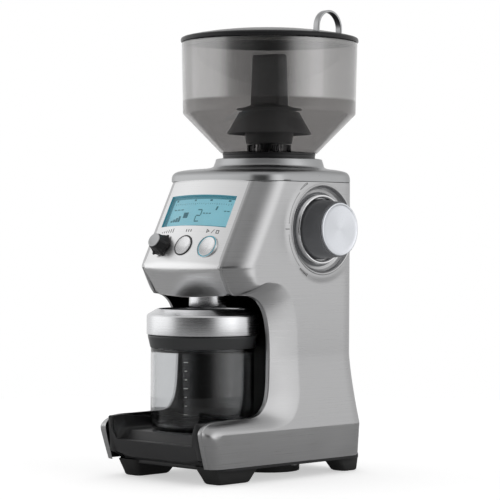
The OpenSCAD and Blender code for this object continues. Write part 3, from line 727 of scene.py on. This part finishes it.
def panel_carrier():
    """Moulded carrier behind the panel: a frame round the openings and four board posts"""
    parts = []
    bars = ((-44, 44, -16, 6.5), (-44, -38.5, 6.5, 78), (38.5, 44, 6.5, 78), (-38.5, 38.5, 66, 78),
            (-38.5, 38.5, 28.5, 34))
    for u0, u1, v0, v1 in bars:
        parts.append(layers(panel_point, span(u0, u1, 4), span(v0, v1, 2), 2.3, 4.0))
    for u in (-43.6, 43.6):
        for v in (2, 62):
            place = facing(Vector((u, CREASE_Y, CREASE_Z)) + PANEL_UP * v, (1, 0, 0), PANEL_UP, -PANEL_OUT)
            place.translation /= MM
            parts.append(moved(slab(circle(2.4, 24), 2.2, 11.0, 0.2), place))
    piece("panel_carrier", merged(parts), "liner_plastic", "housing", "front_frame", slot="dark_plastic")


def display():
    """The display: a lit plate behind the opening, its reveal glowing a darker teal as painted shade of the
    recess, generic marks and the clear cover
    """
    corners = filleted([(u, v, 1.4) for u, v in border((LCD_LEFT, LCD_RIGHT), (LCD_LOW, LCD_HIGH))], 4)
    ring = []
    for (u, v), (u2, v2) in zip(corners, corners[1:] + corners[:1]):
        n = max(1, round(hypot(u2 - u, v2 - v) / 3))
        ring += [(blend_of(u, u2, k / n), blend_of(v, v2, k / n)) for k in range(n)]
    middle_u, middle_v = (LCD_LEFT + LCD_RIGHT) / 2, (LCD_LOW + LCD_HIGH) / 2

    def drawn_in(value, goal, inset):
        return value + copysign(inset, goal - value) * min(1, abs(goal - value) / 5)
    # The reveal's walls and the border they lay over the lit plate: painted shade of the recess
    rows = [[upper_point(drawn_in(u, middle_u, inset), drawn_in(v, middle_v, inset), depth) for u, v in ring]
            for inset, depth in ((0, -0.02), (0.0, 0.5), (0.25, 3.3), (2.2, 3.6))]
    piece("display_reveal", sheet(rows, wrap_columns=True), "lcd_reveal_shade", "housing")
    us, vs = span(LCD_LEFT - 1, LCD_RIGHT + 1, 3), span(LCD_LOW - 1, LCD_HIGH + 1, 3)
    piece("display_plate", layers(upper_point, us, vs, 3.62, 5.0), "lcd_blue", "housing", "lcd_module")
    marks = []

    def bar(u0, u1, v0, v1, lean=0.0):
        marks.append(mark(upper_point, [(u0, v0), (u1, v0), (u1 + lean, v1), (u0 + lean, v1)], 3.5, 3.61))
    # Scale along the top: a frame, ticks and a pointer
    bar(-33, -8, 60.2, 61.6)
    bar(8, 30, 60.2, 61.6)
    bar(-33, 32, 58.2, 58.5)
    for i in range(27):
        tall = 1.5 if i % 5 == 0 else 0.9
        bar(-32.6 + 2.45 * i, -32.25 + 2.45 * i, 58.2 - tall, 58.2)
    bar(17.2, 18.8, 52.0, 55.4, 0.5)
    # Level bars on the left
    for i, tall in enumerate((1.6, 2.6, 3.8, 5.2)):
        bar(-32 + 3.1 * i, -29.6 + 3.1 * i, 41.2, 41.2 + tall)
    bar(-17.6, -12.0, 44.6, 49.6)
    # Rows of short dashes in place of words
    for count, u, step, wide, v, tall in (
            (3, -32, 4.4, 3.2, 52.0, 0.9), (3, 5.0, 3.2, 2.2, 48.4, 0.8), (2, 26.6, 3.2, 2.2, 51.0, 0.8)):
        for i in range(count):
            bar(u + step * i, u + wide + step * i, v, v + tall)
    # A seven-bar figure
    u0, v0, w, h, t = -2.6, 41.4, 5.6, 10.6, 1.0
    for k in (0, 0.5, 1):
        bar(u0 + 0.5 + 0.4 * k, u0 + w - 0.5 + 0.4 * k, v0 + h * k - t / 2, v0 + h * k + t / 2)
    bar(u0, u0 + t, v0 + 0.6, v0 + h / 2 - 0.5)
    bar(u0 + w - t + 0.4, u0 + w + 0.4, v0 + h / 2 + 0.5, v0 + h - 0.6)
    piece("display_marks", merged(marks), "lcd_ink", "housing")
    us, vs = span(LCD_LEFT + 0.1, LCD_RIGHT - 0.1, 3), span(LCD_LOW + 0.1, LCD_HIGH - 0.1, 3)
    edge = border(us, vs)
    walls = sheet([[upper_point(u, v, depth) for u, v in edge] for depth in (0.75, 1.3)], wrap_columns=True)
    cover = merged([layers(upper_point, us, vs, 0.75, 1.3), walls])
    piece("display_cover", cover, "lcd_glass", "housing", "lcd_window")


def panel_marks():
    """Small generic pictograms over the three controls"""
    marks = []
    top = CONTROL_V + 12.4

    def stroke(u0, v0, u1, v1, wide):
        """A straight line, v counted from the row of marks"""
        along = Vector((u1 - u0, v1 - v0)).normalized() * wide / 2
        across = Vector((-along.y, along.x))
        a, b = Vector((u0, top + v0)) - along, Vector((u1, top + v1)) + along
        marks.append(mark(panel_point, [a - across, b - across, b + across, a + across], -0.03, 0.05))
    u = -CONTROL_PITCH - 7
    for i in range(6):
        stroke(u + 2.8 * i, 0, u + 2.8 * i, 0.5 + 0.5 * i, 0.8)
    for i in range(3):
        stroke(-2.6 + 2.6 * i, 0.5, -2.6 + 2.6 * i, 1.9, 0.9)
    for u0, v0, u1, v1, wide in (
            (-6, 0, -6, 2.6, 0.7), (-6, 2.6, -3.6, 1.3, 0.6), (-3.6, 1.3, -6, 0, 0.6),
            (-1, -0.2, 1, 2.8, 0.55), (3.6, 0, 6, 0, 0.65), (6, 0, 6, 2.4, 0.65),
            (6, 2.4, 3.6, 2.4, 0.65), (3.6, 2.4, 3.6, 0, 0.65)):
        stroke(CONTROL_PITCH + u0, v0, CONTROL_PITCH + u1, v1, wide)
    piece("control_marks", merged(marks), "ink", "housing")


def control_place(u):
    return facing(upper_point(u, CONTROL_V), (1, 0, 0), PANEL_UP, PANEL_OUT)


def controls():
    """The amount dial, the preset key and the start key, with their rings"""
    left, centre, right = (control_place(u) for u in (-CONTROL_PITCH, 0, CONTROL_PITCH))
    ring = [(9.15, -7.0, 0), (9.2, 0.35, 0.25), (8.9, 0.7, 0.2), (8.4, 0.55, 0.2), (8.3, 0.1, 0.1),
            (8.3, -2.6, 0), (7.9, -2.7, 0), (7.9, -6.5, 0)]
    dish = [(0.0, -4.2), (7.5, -4.2), (7.6, -1.2), (8.1, -1.0), (8.12, 0.35), (7.95, 0.62), (7.65, 0.74),
            (7.35, 0.66)]
    dish += [(7.0 - 0.5 * k, 0.5 - 1.1 * (1 - (1 - k / 14) ** 2)) for k in range(15)]
    wide_dish = [(r * 9.75 / 9.2, h) for r, h in dish]
    lathe("preset_ring", filleted(ring, 3), "dark_plastic", "housing", "preset_bezel", place=centre,
          slot="black_plastic")
    lathe("preset_dish", dish, "dish_steel", "preset_key", "preset_button", place=centre, open_ends=True)
    glow_ring = [(9.4, -7.0, 0), (9.4, 0.3, 0.1), (8.95, 0.42, 0.15), (8.82, 0.1, 0.1), (8.8, -2.6, 0),
                 (8.4, -2.7, 0), (8.4, -6.5, 0)]
    lathe("start_ring", filleted(glow_ring, 3), "light_teal", "housing", "start_light_ring", place=right)
    collar = [(9.76, -4.0, 0), (9.76, 0.3, 0.2), (9.42, 0.42, 0.1), (9.42, -4.0, 0)]
    lathe("start_collar", filleted(collar, 3), "panel_steel", "housing", place=right)
    lathe("start_dish", wide_dish, "dish_steel", "start_key", "start_button", place=right, open_ends=True)

    def lobes(r, h, a):
        """Six finger lobes that fade out towards the cap"""
        if r < 4 or h < 1.8:
            return r
        swell = max(0.0, cos(6 * a)) ** 1.3
        fade = 1 - smooth((h - 3.0) / 6.4)
        return r - 0.1 + swell * (0.25 + 1.2 * fade)
    body = [(0, 1.6), (8.4, 1.6), (8.9, 1.7), (9.1, 2.0), (9.0, 2.4), (8.2, 2.8), (7.6, 3.4), (7.3, 4.4),
            (7.0, 6.0), (6.75, 7.6), (6.6, 9.0), (6.5, 9.9), (6.35, 10.3), (6.1, 10.45), (0, 10.45)]
    lathe("amount_grip", body, "black_plastic", "amount_dial", "amount_knob", place=left, shape=lobes,
          count=180, open_ends=True, sharp=50)
    cap = [(6.0, 10.4), (6.05, 10.9), (5.85, 11.15), (5.5, 11.2), (4.4, 11.02), (2.2, 10.92), (0, 10.9)]
    lathe("amount_cap", cap, "cap_metal", "amount_dial", place=left, slot="spun_steel", open_ends=True)


# ---------------------------------------------------------------- grind dial


def grind_dial():
    """The dished seat, the bright trim, the barrel and its cap, and the scale on the housing"""
    place = facing((0, 0, DIAL_Z), (0, 1, 0), (0, 0, 1), (1, 0, 0))
    dish = [(38.6, 60.4, 0), (38.2, 61.75, 0.5), (37.3, 62.35, 0.5), (36.3, 62.2, 0.5), (35.7, 61.3, 0.4),
            (34.9, 58.9, 0.6), (33.2, 57.4, 1.2), (29.5, 56.6, 0.5), (9, 56.5, 0), (9, 54.6, 0),
            (38.6, 55.5, 0)]
    lathe("dial_seat", filleted(dish, 4), "brushed_steel", "housing", "dial_dish", place=place, count=200)
    # A dark ring laid between the seat and the trim: painted shade of the recess
    shade = [(30.7, 57.3), (29.2, 57.1), (29.2, 56.6), (30.7, 56.7)]
    lathe("dial_seat_shade", shade, "barrel_plastic", "housing", place=place, count=200)
    ring = [(25.9, 56.4, 0), (29.0, 56.4, 0), (29.0, 60.9, 0.5), (28.3, 61.7, 0.5), (27.2, 61.8, 0.5),
            (26.3, 61.2, 0.5), (25.9, 60.4, 0.3)]
    lathe("dial_trim", filleted(ring, 5), "chrome", "housing", "dial_ring", place=place, count=200)
    barrel = [(22.1, 79.1, 0.4), (22.6, 78.6, 0.5), (24.6, 60.4, 0), (25.1, 58.6, 0.6), (24.6, 58.2, 0.3),
              (22.4, 58.2, 0), (19.6, 75, 0), (0, 75, 0)]
    lathe("dial_barrel", filleted(barrel, 4) + [(0, 79.1)], "barrel_plastic", "grind_dial", "dial_knob",
          place=place, count=200, open_ends=True)
    cap = [(21.2, 79.0), (21.9, 79.3), (21.95, 80.5), (21.7, 81.1), (21.2, 81.4), (20.6, 81.4), (20.0, 81.1)]
    cap += [(19.5 - 1.95 * k, 80.95 - 0.5 * sin(pi / 2 * k / 10)) for k in range(11)]
    lathe("dial_cap_face", cap, "dial_face", "grind_dial", "dial_cap", place=place, count=200, open_ends=True)
    marks = []

    def arc_mark(r0, r1, a0, a1, steps):
        """A mark between two radii and two angles, laid on the housing's side"""
        rows = []
        for r in (r0, r1):
            angles = [radians(blend_of(a0, a1, k / steps)) for k in range(steps + 1)]
            around = [(r * cos(a), DIAL_Z + r * sin(a)) for a in angles]
            rows.append([(sum(side_at(y, z)) + 0.05, y, z) for y, z in around])
        marks.append(sheet(rows))
    # A thin scale line, a pointer line and short end strokes that grow from fine to coarse
    arc_mark(40.9, 41.2, 133, 174, 30)
    arc_mark(40.9, 41.2, 186, 227, 30)
    arc_mark(40.2, 44.5, 179.6, 180.4, 2)
    for i in range(7):
        for side, size in ((-1, 0.5 + 0.06 * i), (1, 0.9 + 0.06 * i)):
            centre = 180 + side * (50.5 + 2.1 * i)
            arc_mark(42.1 - size, 42.1 + size, centre - 0.55, centre + 0.55, 1)
    piece("dial_scale", merged(marks), "ink", "housing")


# ---------------------------------------------------------------- hopper and lid

BIN_TOP = high("hopper_bin", Z)
BIN_LOW = low("hopper_bin", Z)
BIN_R = high("hopper_bin", X)
BIN_KNEE = BIN_TOP - 60
LID_LOW = 361.0
LID_R = high("lid", X)
RING_TOP = high("hopper_ring", Z)
LOOP_TOP = high("lid_loop", Z)
GUARD_TOP = high("hopper_guard", Z)
KNOB_TOP = high("lock_knob", Z)


def hopper():
    """The bean bin with its collar and floor, the guard inside it and the lock knob on top of that"""
    wall = 2.4
    bin_outline = [
        (BIN_R, BIN_TOP, 0.5), (BIN_R - 1.3, BIN_KNEE, 3.0), (40.6, 267.5, 0.6), (36.9, 267.4, 0),
        (36.9, BIN_LOW, 0.3), (34.9, BIN_LOW, 0.3), (34.9, 266.2, 1.0), (38.4, 268.9, 1.5),
        (BIN_R - 1.3 - wall, BIN_KNEE + 1, 3.0), (BIN_R - wall, BIN_TOP, 0.5)]
    lathe("bean_bin", filleted(bin_outline, 6), "smoke_clear", "hopper", "hopper_bin", count=220, sharp=40)
    ring = [(37.0, 250.4, 0.2), (39.4, 250.4, 0.5), (39.4, 260.0, 0), (38.9, 261.0, 0.3), (38.9, 265.6, 0.3),
            (39.3, 266.2, 0.2), (39.3, RING_TOP, 0.2), (37.0, RING_TOP, 0.2)]
    lathe("bin_collar", filleted(ring, 3), "black_plastic", "hopper", count=200)
    floor = [(36.8, 254.0, 0), (36.8, 257.0, 0.3), (30.0, 256.6, 0), (5.8, 256.9, 0.3), (5.8, 254.0, 0)]
    lathe("bin_floor", filleted(floor, 3), "black_plastic", "hopper", "hopper_ring", count=120)
    tooth = slab([(-1.1, -0.5), (1.1, -0.5), (1.1, 0.5), (-1.1, 0.5)], 257.2, 275.6, 0.3)
    turns = (Matrix.Rotation(2 * pi * i / 28, 4, "Z") @ Matrix.Translation((17.5, 0, 0)) for i in range(28))
    piece("guard_teeth", merged([moved(tooth, turn) for turn in turns]), "guard_clear", "hopper")
    guard = [(6.6, 257.4, 0.3), (8.4, 257.4, 0.3), (8.6, 276.6, 0), (19.4, 276.6, 0.4), (20.6, 284.4, 0.5),
             (18.5, 300.6, 2.0), (24.0, 300.9, 1.0), (34.5, 284.6, 0.3), (36.0, 284.5, 0.5),
             (25.6, GUARD_TOP - 0.6, 1.2), (24.6, GUARD_TOP, 0.4), (6.6, GUARD_TOP, 0.3)]
    lathe("bean_guard", filleted(guard, 4), "fin_plastic", "hopper", "hopper_guard", count=200, sharp=40,
          slot="guard_clear")
    # Lock knob: a waisted fin on a low dome, its top edge rounded in two steps
    levels = [(304.2, 0.0, 0), (305.0, 0.02, 0), (310, 0.1, 0), (322, 0.32, 0), (336, 0.66, 0),
              (345, 0.88, 0), (347.6, 0.95, 0), (348.6, 0.985, 0.35), (KNOB_TOP - 0.05, 1.0, 0.9)]
    rows = []
    for z, t, inset in levels:
        half_x, half_y = blend_of(16.9, 15.2, t) - inset, blend_of(7.4, 6.5, t) - inset
        rows.append([(half_x * copysign(abs(c) ** 0.28, c), half_y * copysign(abs(s) ** 0.28, s), z)
                     for c, s in circle(1, 64)])
    piece("lock_fin", sheet(rows, wrap_columns=True, caps=True), "fin_plastic", "hopper_lock", "lock_knob",
          sharp=60)
    dome = [(0, 303.2), (22.4, 303.2), (23.0, 303.6), (22.8, 304.6), (19.6, 306.9), (14.0, 308.8), (7, 309.5),
            (0, 309.6)]
    lathe("lock_dome", dome, "fin_plastic", "hopper_lock", open_ends=True)
    stem = [(0, 253.0), (5.4, 253.0), (5.4, 303.4), (0, 303.4)]
    lathe("lock_stem", stem, "dark_plastic", "hopper_lock", open_ends=True, count=48)


def lid():
    top = [(0, 372.15), (14, 371.95), (28, 371.4), (42, 370.4), (54, 368.9), (64, 367.2), (70.5, 365.9),
           (73.4, 365.1), (74.6, 364.5), (LID_R - 0.15, 363.6), (LID_R, 362.6), (LID_R - 0.1, 361.6),
           (LID_R - 0.6, 361.05), (73.6, LID_LOW), (70.9, LID_LOW), (70.5, 360.6), (70.4, 356.2),
           (70.2, 356.0), (68.7, 356.0), (68.5, 356.3), (68.4, 362.4), (66, 363.2), (40, 367.4), (0, 369.7)]
    lathe("lid_cover", top, "lid_plastic", "hopper_lid", "lid", count=240, open_ends=True, sharp=40)
    seal = [(70.35, 357.0), (70.9, 356.9), (71.35, 357.6), (71.4, 358.4), (71.2, 359.3), (70.35, 359.5)]
    lathe("lid_gasket", seal, "silicone", "hopper_lid", "lid_seal", count=200)
    # Bent strap: a half ring that stands on the dome
    centre_z, thick, x0, x1 = 369.4, 1.9, 63.0, 69.0
    inner = LOOP_TOP - centre_z - thick
    section = filleted([(x0, 0, 0.6), (x1, 0, 0.6), (x1, thick, 0.6), (x0, thick, 0.6)], 3)
    rows = []
    for k, drop in [(0, -6.0), (0, -3.0)] + [(k, 0) for k in range(41)] + [(40, -3.0), (40, -6.0)]:
        a = pi * k / 40
        rows.append([(x, -(inner + t) * cos(a), max(365.4, centre_z + (inner + t) * sin(a) + drop))
                     for x, t in section])
    strap = sheet(rows, wrap_columns=True, caps=True)
    piece("lid_strap", strap, "cap_metal", "hopper_lid", "lid_loop", sharp=40)


# ---------------------------------------------------------------- jar, outlet and tray


def jar():
    """The glass with its band and scale, and its lid"""
    place = at(0, JAR_Y)
    glass = [(0, 38.75), (35.5, 38.75), (38.6, 39.2), (40.9, 40.6), (42.1, 42.6), (42.5, 45.0),
             (42.5, 70.0), (42.5, 106.1), (40.5, 106.5), (40.4, 130.6), (40.1, 131.0), (38.5, 131.0),
             (38.2, 130.6), (38.2, 107.4), (38.8, 106.0), (40.2, 104.4), (40.3, 102.0), (40.3, 60.0),
             (40.2, 46.0), (39.6, 44.0), (38.2, 42.6), (36.0, 42.1), (0, 42.1)]
    lathe("jar_glass", glass, "jar_clear", "ground_jar", "jar", place=place, count=220, open_ends=True,
          sharp=40)
    rim = [(40.5, 106.4, 0), (42.9, 106.3, 0.3), (45.0, 115.2, 0.6), (45.0, 116.4, 0.3), (40.5, 116.4, 0)]
    lathe("jar_band", filleted(rim, 4), "dark_plastic", "ground_jar", "jar_rim", place=place, count=200,
          slot="black_plastic")
    grip = [(36.0, 136.3, 0.3), (36.0, 137.9, 0.5), (37.4, 138.0, 0.6), (45.2, 133.5, 1.2),
            (46.0, 132.2, 0.6), (46.0, 117.0, 0.5), (41.2, 116.9, 0), (41.2, 133.0, 0)]
    lathe("jar_cover", filleted(grip, 4), "spun_steel", "jar_top", "jar_lid", place=place, count=220,
          sharp=25)
    marks = []
    for i in range(7):
        wide = 3.4 if i % 3 == 0 else 2.0
        angles = [radians(-63) + (k / 3 - 0.5) * wide / 42.5 for k in range(4)]
        marks.append(sheet([[(42.56 * cos(a), 42.56 * sin(a), 54 + 7 * i + rise) for a in angles]
                            for rise in (0, 0.35)]))
    piece("jar_scale", merged(marks), "silicone", "ground_jar", place=place)


def outlet():
    tube = [(15.3, 139.7, 0.3), (15.3, 152.6, 0), (13.9, 152.6, 0), (13.9, 139.7, 0.3)]
    lathe("grounds_spout", filleted(tube, 3), "spun_steel", "housing", "outlet_spout", place=at(0, SPOUT_Y),
          slot="brushed_steel")


TRAY_HALF = high("tray", X)
TRAY_TOP = high("tray", Z)
TRAY_FRONT = low("tray", Y)
TRAY_CORNER = 6.5
TROUGH_Z = 26.0
JAR_Z = 38.5


def tray_lip(x):
    """Height of the tray's front edge across its width"""
    return 32 + (TRAY_TOP - 32) * smooth((abs(x) - 43.5) / 7.6)


def tray_sides():
    """Side walls and floor, one section swept from the back to the front corners"""
    wall = TRAY_HALF - 3.2
    rows = []
    for y in (-28, -118, -119.5, TRAY_FRONT + TRAY_CORNER - 0.1):
        floor = blend_of(JAR_Z, TROUGH_Z, smooth((-118.5 - y) / 6.5))
        rim = blend_of(JAR_Z + 1.2, TRAY_TOP, smooth((-52 - y) / 9))
        foot = blend_of(16.0, 21.0, smooth((-119.5 - y) / 8))
        half = [
            (TRAY_HALF - 0.6, foot), (TRAY_HALF, foot + 0.8), (TRAY_HALF, rim - 0.9),
            (TRAY_HALF - 0.25, rim - 0.25), (TRAY_HALF - 0.9, rim), (wall + 0.9, rim),
            (wall + 0.25, rim - 0.25), (wall, rim - 0.9),
            (wall - 0.5, floor + min(5.5, (rim - floor) * 0.6)),
            (wall - 2.0, floor + min(2.0, (rim - floor) * 0.3)), (wall - 4.5, floor + 0.25),
            (wall - 9.0, floor), (34, floor), (24, floor), (12, floor)]
        section = half + [(0, floor)] + [(-x, z) for x, z in reversed(half)]
        rows.append([(x, y, z) for x, z in section])
    return sheet(rows)


def tray_front():
    """Front wall: a section from the trough over the lip and down to the undercut"""
    flat = TRAY_HALF - TRAY_CORNER
    path = [(-flat, -pi / 2 * (1 - k / 12)) for k in range(12)] + [(x, 0.0) for x in span(-flat, flat, 0.9)]
    path += [(flat, pi / 2 * k / 12) for k in range(1, 13)]
    rows = []
    for x0, turn in path:
        out = Vector((sin(turn), -cos(turn)))
        x = x0 + TRAY_CORNER * out.x
        top = tray_lip(x)
        under = 17.5 + 3.5 * smooth((abs(x) - 30) / 22)
        rise, mid, low_mid = min(30, top - 1.6), blend_of(top, under, 0.35), blend_of(top, under, 0.7)
        cornered = smooth(abs(out.x) * 4)
        # Where the outer face is measured, how far in from it the point is, and its height
        levels = ((TROUGH_Z, 8.5, TROUGH_Z + 0.02), (TROUGH_Z, 5.5, TROUGH_Z + 0.3), (28, 4.2, 27.6),
                  (rise, 3.4, rise), (top, 3.3, top - 0.9), (top, 2.9, top - 0.25), (top, 2.3, top),
                  (top, 1.1, top), (top, 0.5, top - 0.2), (top, 0.1, top - 0.7), (top - 1.6, 0, top - 1.6),
                  (mid, 0, mid), (low_mid, 0, low_mid), (under + 1.2, 0, under + 1.2),
                  (under + 0.4, 0.35, under + 0.35), (under, 1.2, under), (under, 5.5, under - 0.6))
        # The face leans in below the band's height
        row = [(0.2 * -out.y + max(0.0, BAND_HIGH - level) * 7.6 / 24 * out.y ** 2 + inset, z)
               for level, inset, z in levels]
        row.append((17, blend_of(14.6, under - 0.8, cornered)))
        # Round the corner no point passes its centre
        row = [(min(inset, blend_of(inset, TRAY_CORNER - 0.3, cornered)), z) for inset, z in row]
        centre = Vector((x0, TRAY_FRONT + TRAY_CORNER))
        rows.append([(*(centre + out * (TRAY_CORNER - inset)), z) for inset, z in row])
    return sheet(rows)


def tray():
    piece("tray_body", merged([tray_sides(), tray_front()]), "tray_plastic", "drip_tray", "tray", sharp=42)
    # Shallow ring that locates the jar
    ring = [(30.5, JAR_Z - 0.05, 0), (31.2, JAR_Z + 0.12, 0.05), (33.8, JAR_Z + 0.12, 0.05),
            (34.5, JAR_Z - 0.05, 0)]
    lathe("tray_ring", filleted(ring, 2), "tray_plastic", "drip_tray", place=at(0, JAR_Y), open_ends=True)


def block_ring(x0, x1, y0, y1, r):
    """Rounded rectangle"""
    return filleted([(x0, y0, r), (x1, y0, r), (x1, y1, r), (x0, y1, r)], 5)


def base():
    """Base pan set in from the band, and feet that flare up to it"""
    pan = slab(block_ring(3 - BASE_HALF, BASE_HALF - 3, -118, BASE_BACK - 3, 12), 11.4, 14.6, 0.5)
    piece("base_pan", pan, "black_plastic", "housing", "base_plate")
    parts = []
    # Each foot's box at the floor and at the pan: x, then y
    feet = (((37.5, 55.6, -114, -78), (33, 56.6, -121, -66)), ((39, 55.6, 35, 53), (34, 54.4, 26, 57)))
    levels = ((0, 0, 1.4), (0.4, 0.02, 0.5), (1.2, 0.06, 0), (6, 0.4, 0), (13.2, 0.95, 0), (14.2, 1, 0.2))
    for side in (-1, 1):
        for low_box, high_box in feet:
            rows = []
            for z, t, inset in levels:
                x0, x1, y0, y1 = (blend_of(a, b, t) for a, b in zip(low_box, high_box))
                ring = block_ring(x0 + inset, x1 - inset, y0 + inset, y1 - inset, 4)
                rows.append([(side * x, y, z) for x, y in ring])
            parts.append(sheet(rows, wrap_columns=True, caps=True))
    parts.append(slab(circle(27, 96), 0.0, 9.0, 0.8))
    piece("soft_feet", merged(parts), "rubber", "housing", "rubber_feet", sharp=50)
    outline = [(3.65, -2.0, 0.5), (8.9, -2.0, 0.8), (8.9, 0.0, 0), (6.5, 0.0, 0), (6.5, 16, 0), (3.65, 16, 0)]
    lathe("cord_inlet", filleted(outline, 3), "rubber", "housing", "cord_gland",
          place=facing((GLAND_X, BASE_BACK, GLAND_Z), (1, 0, 0), (0, 0, 1), (0, -1, 0)))


# ---------------------------------------------------------------- CAD parts that stay

KEPT = {
    "machined_steel": "base_screws idler_pin burr_shaft shaft_bearings lower_burr upper_burr dial_shaft "
                      "amount_spindle",
    "dark_plastic": "inner_frame gearbox_base gearbox_cover grinding_chamber hopper_shutter",
    "gear_nylon": "idler_gear output_gear adjust_ring dial_bush dial_pinion",
    "circuit_green": "control_board power_board",
    "motor_zinc": "motor_can motor_cap",
    "brass": "motor_pinion impeller",
    "copper_winding": "motor_armature",
    "carrier_plastic": "burr_carrier",
    "liner_plastic": "grind_chute",
    "black_plastic": "hopper_switch",
}


def dress_cad():
    for look, names in KEPT.items():
        for name in names.split():
            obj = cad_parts[name]
            obj.data.materials.clear()
            obj.data.materials.append(LOOK[look])


# ---------------------------------------------------------------- studio

VIEW_AZIMUTH = radians(44)
VIEW_DISTANCE = 1797
VIEW_HEIGHT = 200.5
VIEW_PITCH = radians(0.47)
VIEW_ROLL = radians(0.28)
VIEW_OFFSET = 15.7
VIEW_LENS = 152.8


def camera():
    ahead = Vector((-sin(VIEW_AZIMUTH), cos(VIEW_AZIMUTH), 0))
    right = Vector((cos(VIEW_AZIMUTH), sin(VIEW_AZIMUTH), 0))
    data = bpy.data.cameras.new("photo_camera")
    data.lens, data.sensor_width = VIEW_LENS, 36
    data.clip_start, data.clip_end = 0.1, 100
    cam = bpy.data.objects.new("photo_camera", data)
    bpy.context.collection.objects.link(cam)
    cam.location = (ahead * -VIEW_DISTANCE - right * VIEW_OFFSET + Vector((0, 0, VIEW_HEIGHT))) * MM
    aim = ahead * cos(VIEW_PITCH) - Vector((0, 0, sin(VIEW_PITCH)))
    cam.rotation_mode = "QUATERNION"
    roll = Matrix.Rotation(VIEW_ROLL, 3, "Z").to_quaternion()
    cam.rotation_quaternion = aim.to_track_quat("-Z", "Y") @ roll
    bpy.context.scene.camera = cam


def floor():
    """A round sheet of studio paper"""
    n = 96
    points, quads = sheet([[(x, y, 0) for x, y in circle(r, n)] for r in (300, 550, 800)], wrap_columns=True)
    faces = [(0, 1 + k, 1 + (k + 1) % n) for k in range(n)] + [tuple(1 + i for i in f) for f in quads]
    mesh = bpy.data.meshes.new("studio_floor")
    mesh.from_pydata([Vector(v) * MM for v in [(0, 0, 0)] + points], [], faces)
    obj = bpy.data.objects.new("studio_floor", mesh)
    bpy.context.collection.objects.link(obj)
    tree, bsdf = shader("studio_paper")
    fill(tree, bsdf, {
        "Base Color": tint(tree, noise(tree, 3, detail=2), (0.91, 0.91, 0.91), (0.93, 0.93, 0.93)),
        "Roughness": 0.9, "Specular IOR Level": 0.1, "Emission Color": (1, 1, 1, 1),
        "Emission Strength": 0.5})
    # In mirrored rays the paper is as dim as a studio table outside its lamp
    dim = put(tree, "BsdfDiffuse", {"Color": (0.52, 0.52, 0.52, 1)}).outputs["BSDF"]
    mirrored = put(tree, "LightPath", {}).outputs["Is Glossy Ray"]
    mix = put(tree, "MixShader", {"Fac": mirrored, 1: bsdf.outputs["BSDF"], 2: dim})
    fill(tree, tree.nodes["Material Output"], {"Surface": mix.outputs["Shader"]})
    mesh.materials.append(LOOK["studio_paper"])


# Brightness of the studio round the compass, turned from the camera's side: 0 is behind the camera
STUDIO = [
    (-180, 0.8), (-150, 0.75), (-130, 0.85), (-115, 1.15), (-80, 1.1), (-62, 0.7), (-48, 0.22), (-20, 0.08),
    (0, 0.05), (15, 0.1), (27, 0.42), (38, 0.88), (50, 1.2), (66, 1.42), (78, 1.1), (95, 0.85), (120, 0.72),
    (145, 0.65), (180, 0.8)]
BRIGHTEST = 3.0


def studio():
    """World light by direction: two tall soft boxes at the sides, darker behind the camera, a soft top"""
    world = bpy.data.worlds.new("studio")
    bpy.context.scene.world = world
    world.use_nodes = True
    tree = world.node_tree
    tree.nodes.clear()
    ahead = put(tree, "SeparateXYZ", {"Vector": put(tree, "TexCoord", {}).outputs["Generated"]}).outputs
    # Angle from the camera's side, -180 to 180 degrees, positive to its right
    compass = op(tree, "ARCTAN2", ahead["X"], op(tree, "MULTIPLY", ahead["Y"], -1))
    turn = op(tree, "WRAP", op(tree, "SUBTRACT", compass, VIEW_AZIMUTH), pi, -pi)
    ramp = put(tree, "FloatCurve", {"Value": op(tree, "DIVIDE", op(tree, "ADD", turn, pi), 2 * pi)})
    points = ramp.mapping.curves[0].points
    first, *between, last = [((a + 180) / 360, v / BRIGHTEST) for a, v in STUDIO]
    points[0].location = first
    for x, y in between:
        points.new(x, y)
    points[-1].location = last
    for p in points:
        p.handle_type = "AUTO_CLAMPED"
    ramp.mapping.update()
    around = op(tree, "MULTIPLY", ramp.outputs["Value"], BRIGHTEST)
    # Overhead: an even, softer light; below the horizon the floor is what shows
    rise = {"Value": op(tree, "MAXIMUM", ahead["Z"], 0.0), "From Min": 0.35, "From Max": 0.85}
    up = put(tree, "MapRange", rise, interpolation_type="SMOOTHSTEP").outputs["Result"]
    light = op(tree, "ADD", op(tree, "MULTIPLY", around, op(tree, "SUBTRACT", 1.0, up)),
               op(tree, "MULTIPLY", up, 0.55))
    lighting, white = (
        put(tree, "Background", {"Color": (1, 1, 1, 1), "Strength": strength}).outputs["Background"]
        for strength in (light, 1.0))
    seen = put(tree, "LightPath", {}).outputs["Is Camera Ray"]
    mix = put(tree, "MixShader", {"Fac": seen, 1: lighting, 2: white})
    put(tree, "OutputWorld", {"Surface": mix.outputs["Shader"]})


bpy.context.scene.view_settings.view_transform = "Standard"
camera()
floor()
studio()
body_shell()
bay_liner()
top_cap()
seam_shade_strips()
front_panel()
panel_carrier()
display()
panel_marks()
controls()
grind_dial()
hopper()
lid()
jar()
outlet()
tray()
base()
dress_cad()
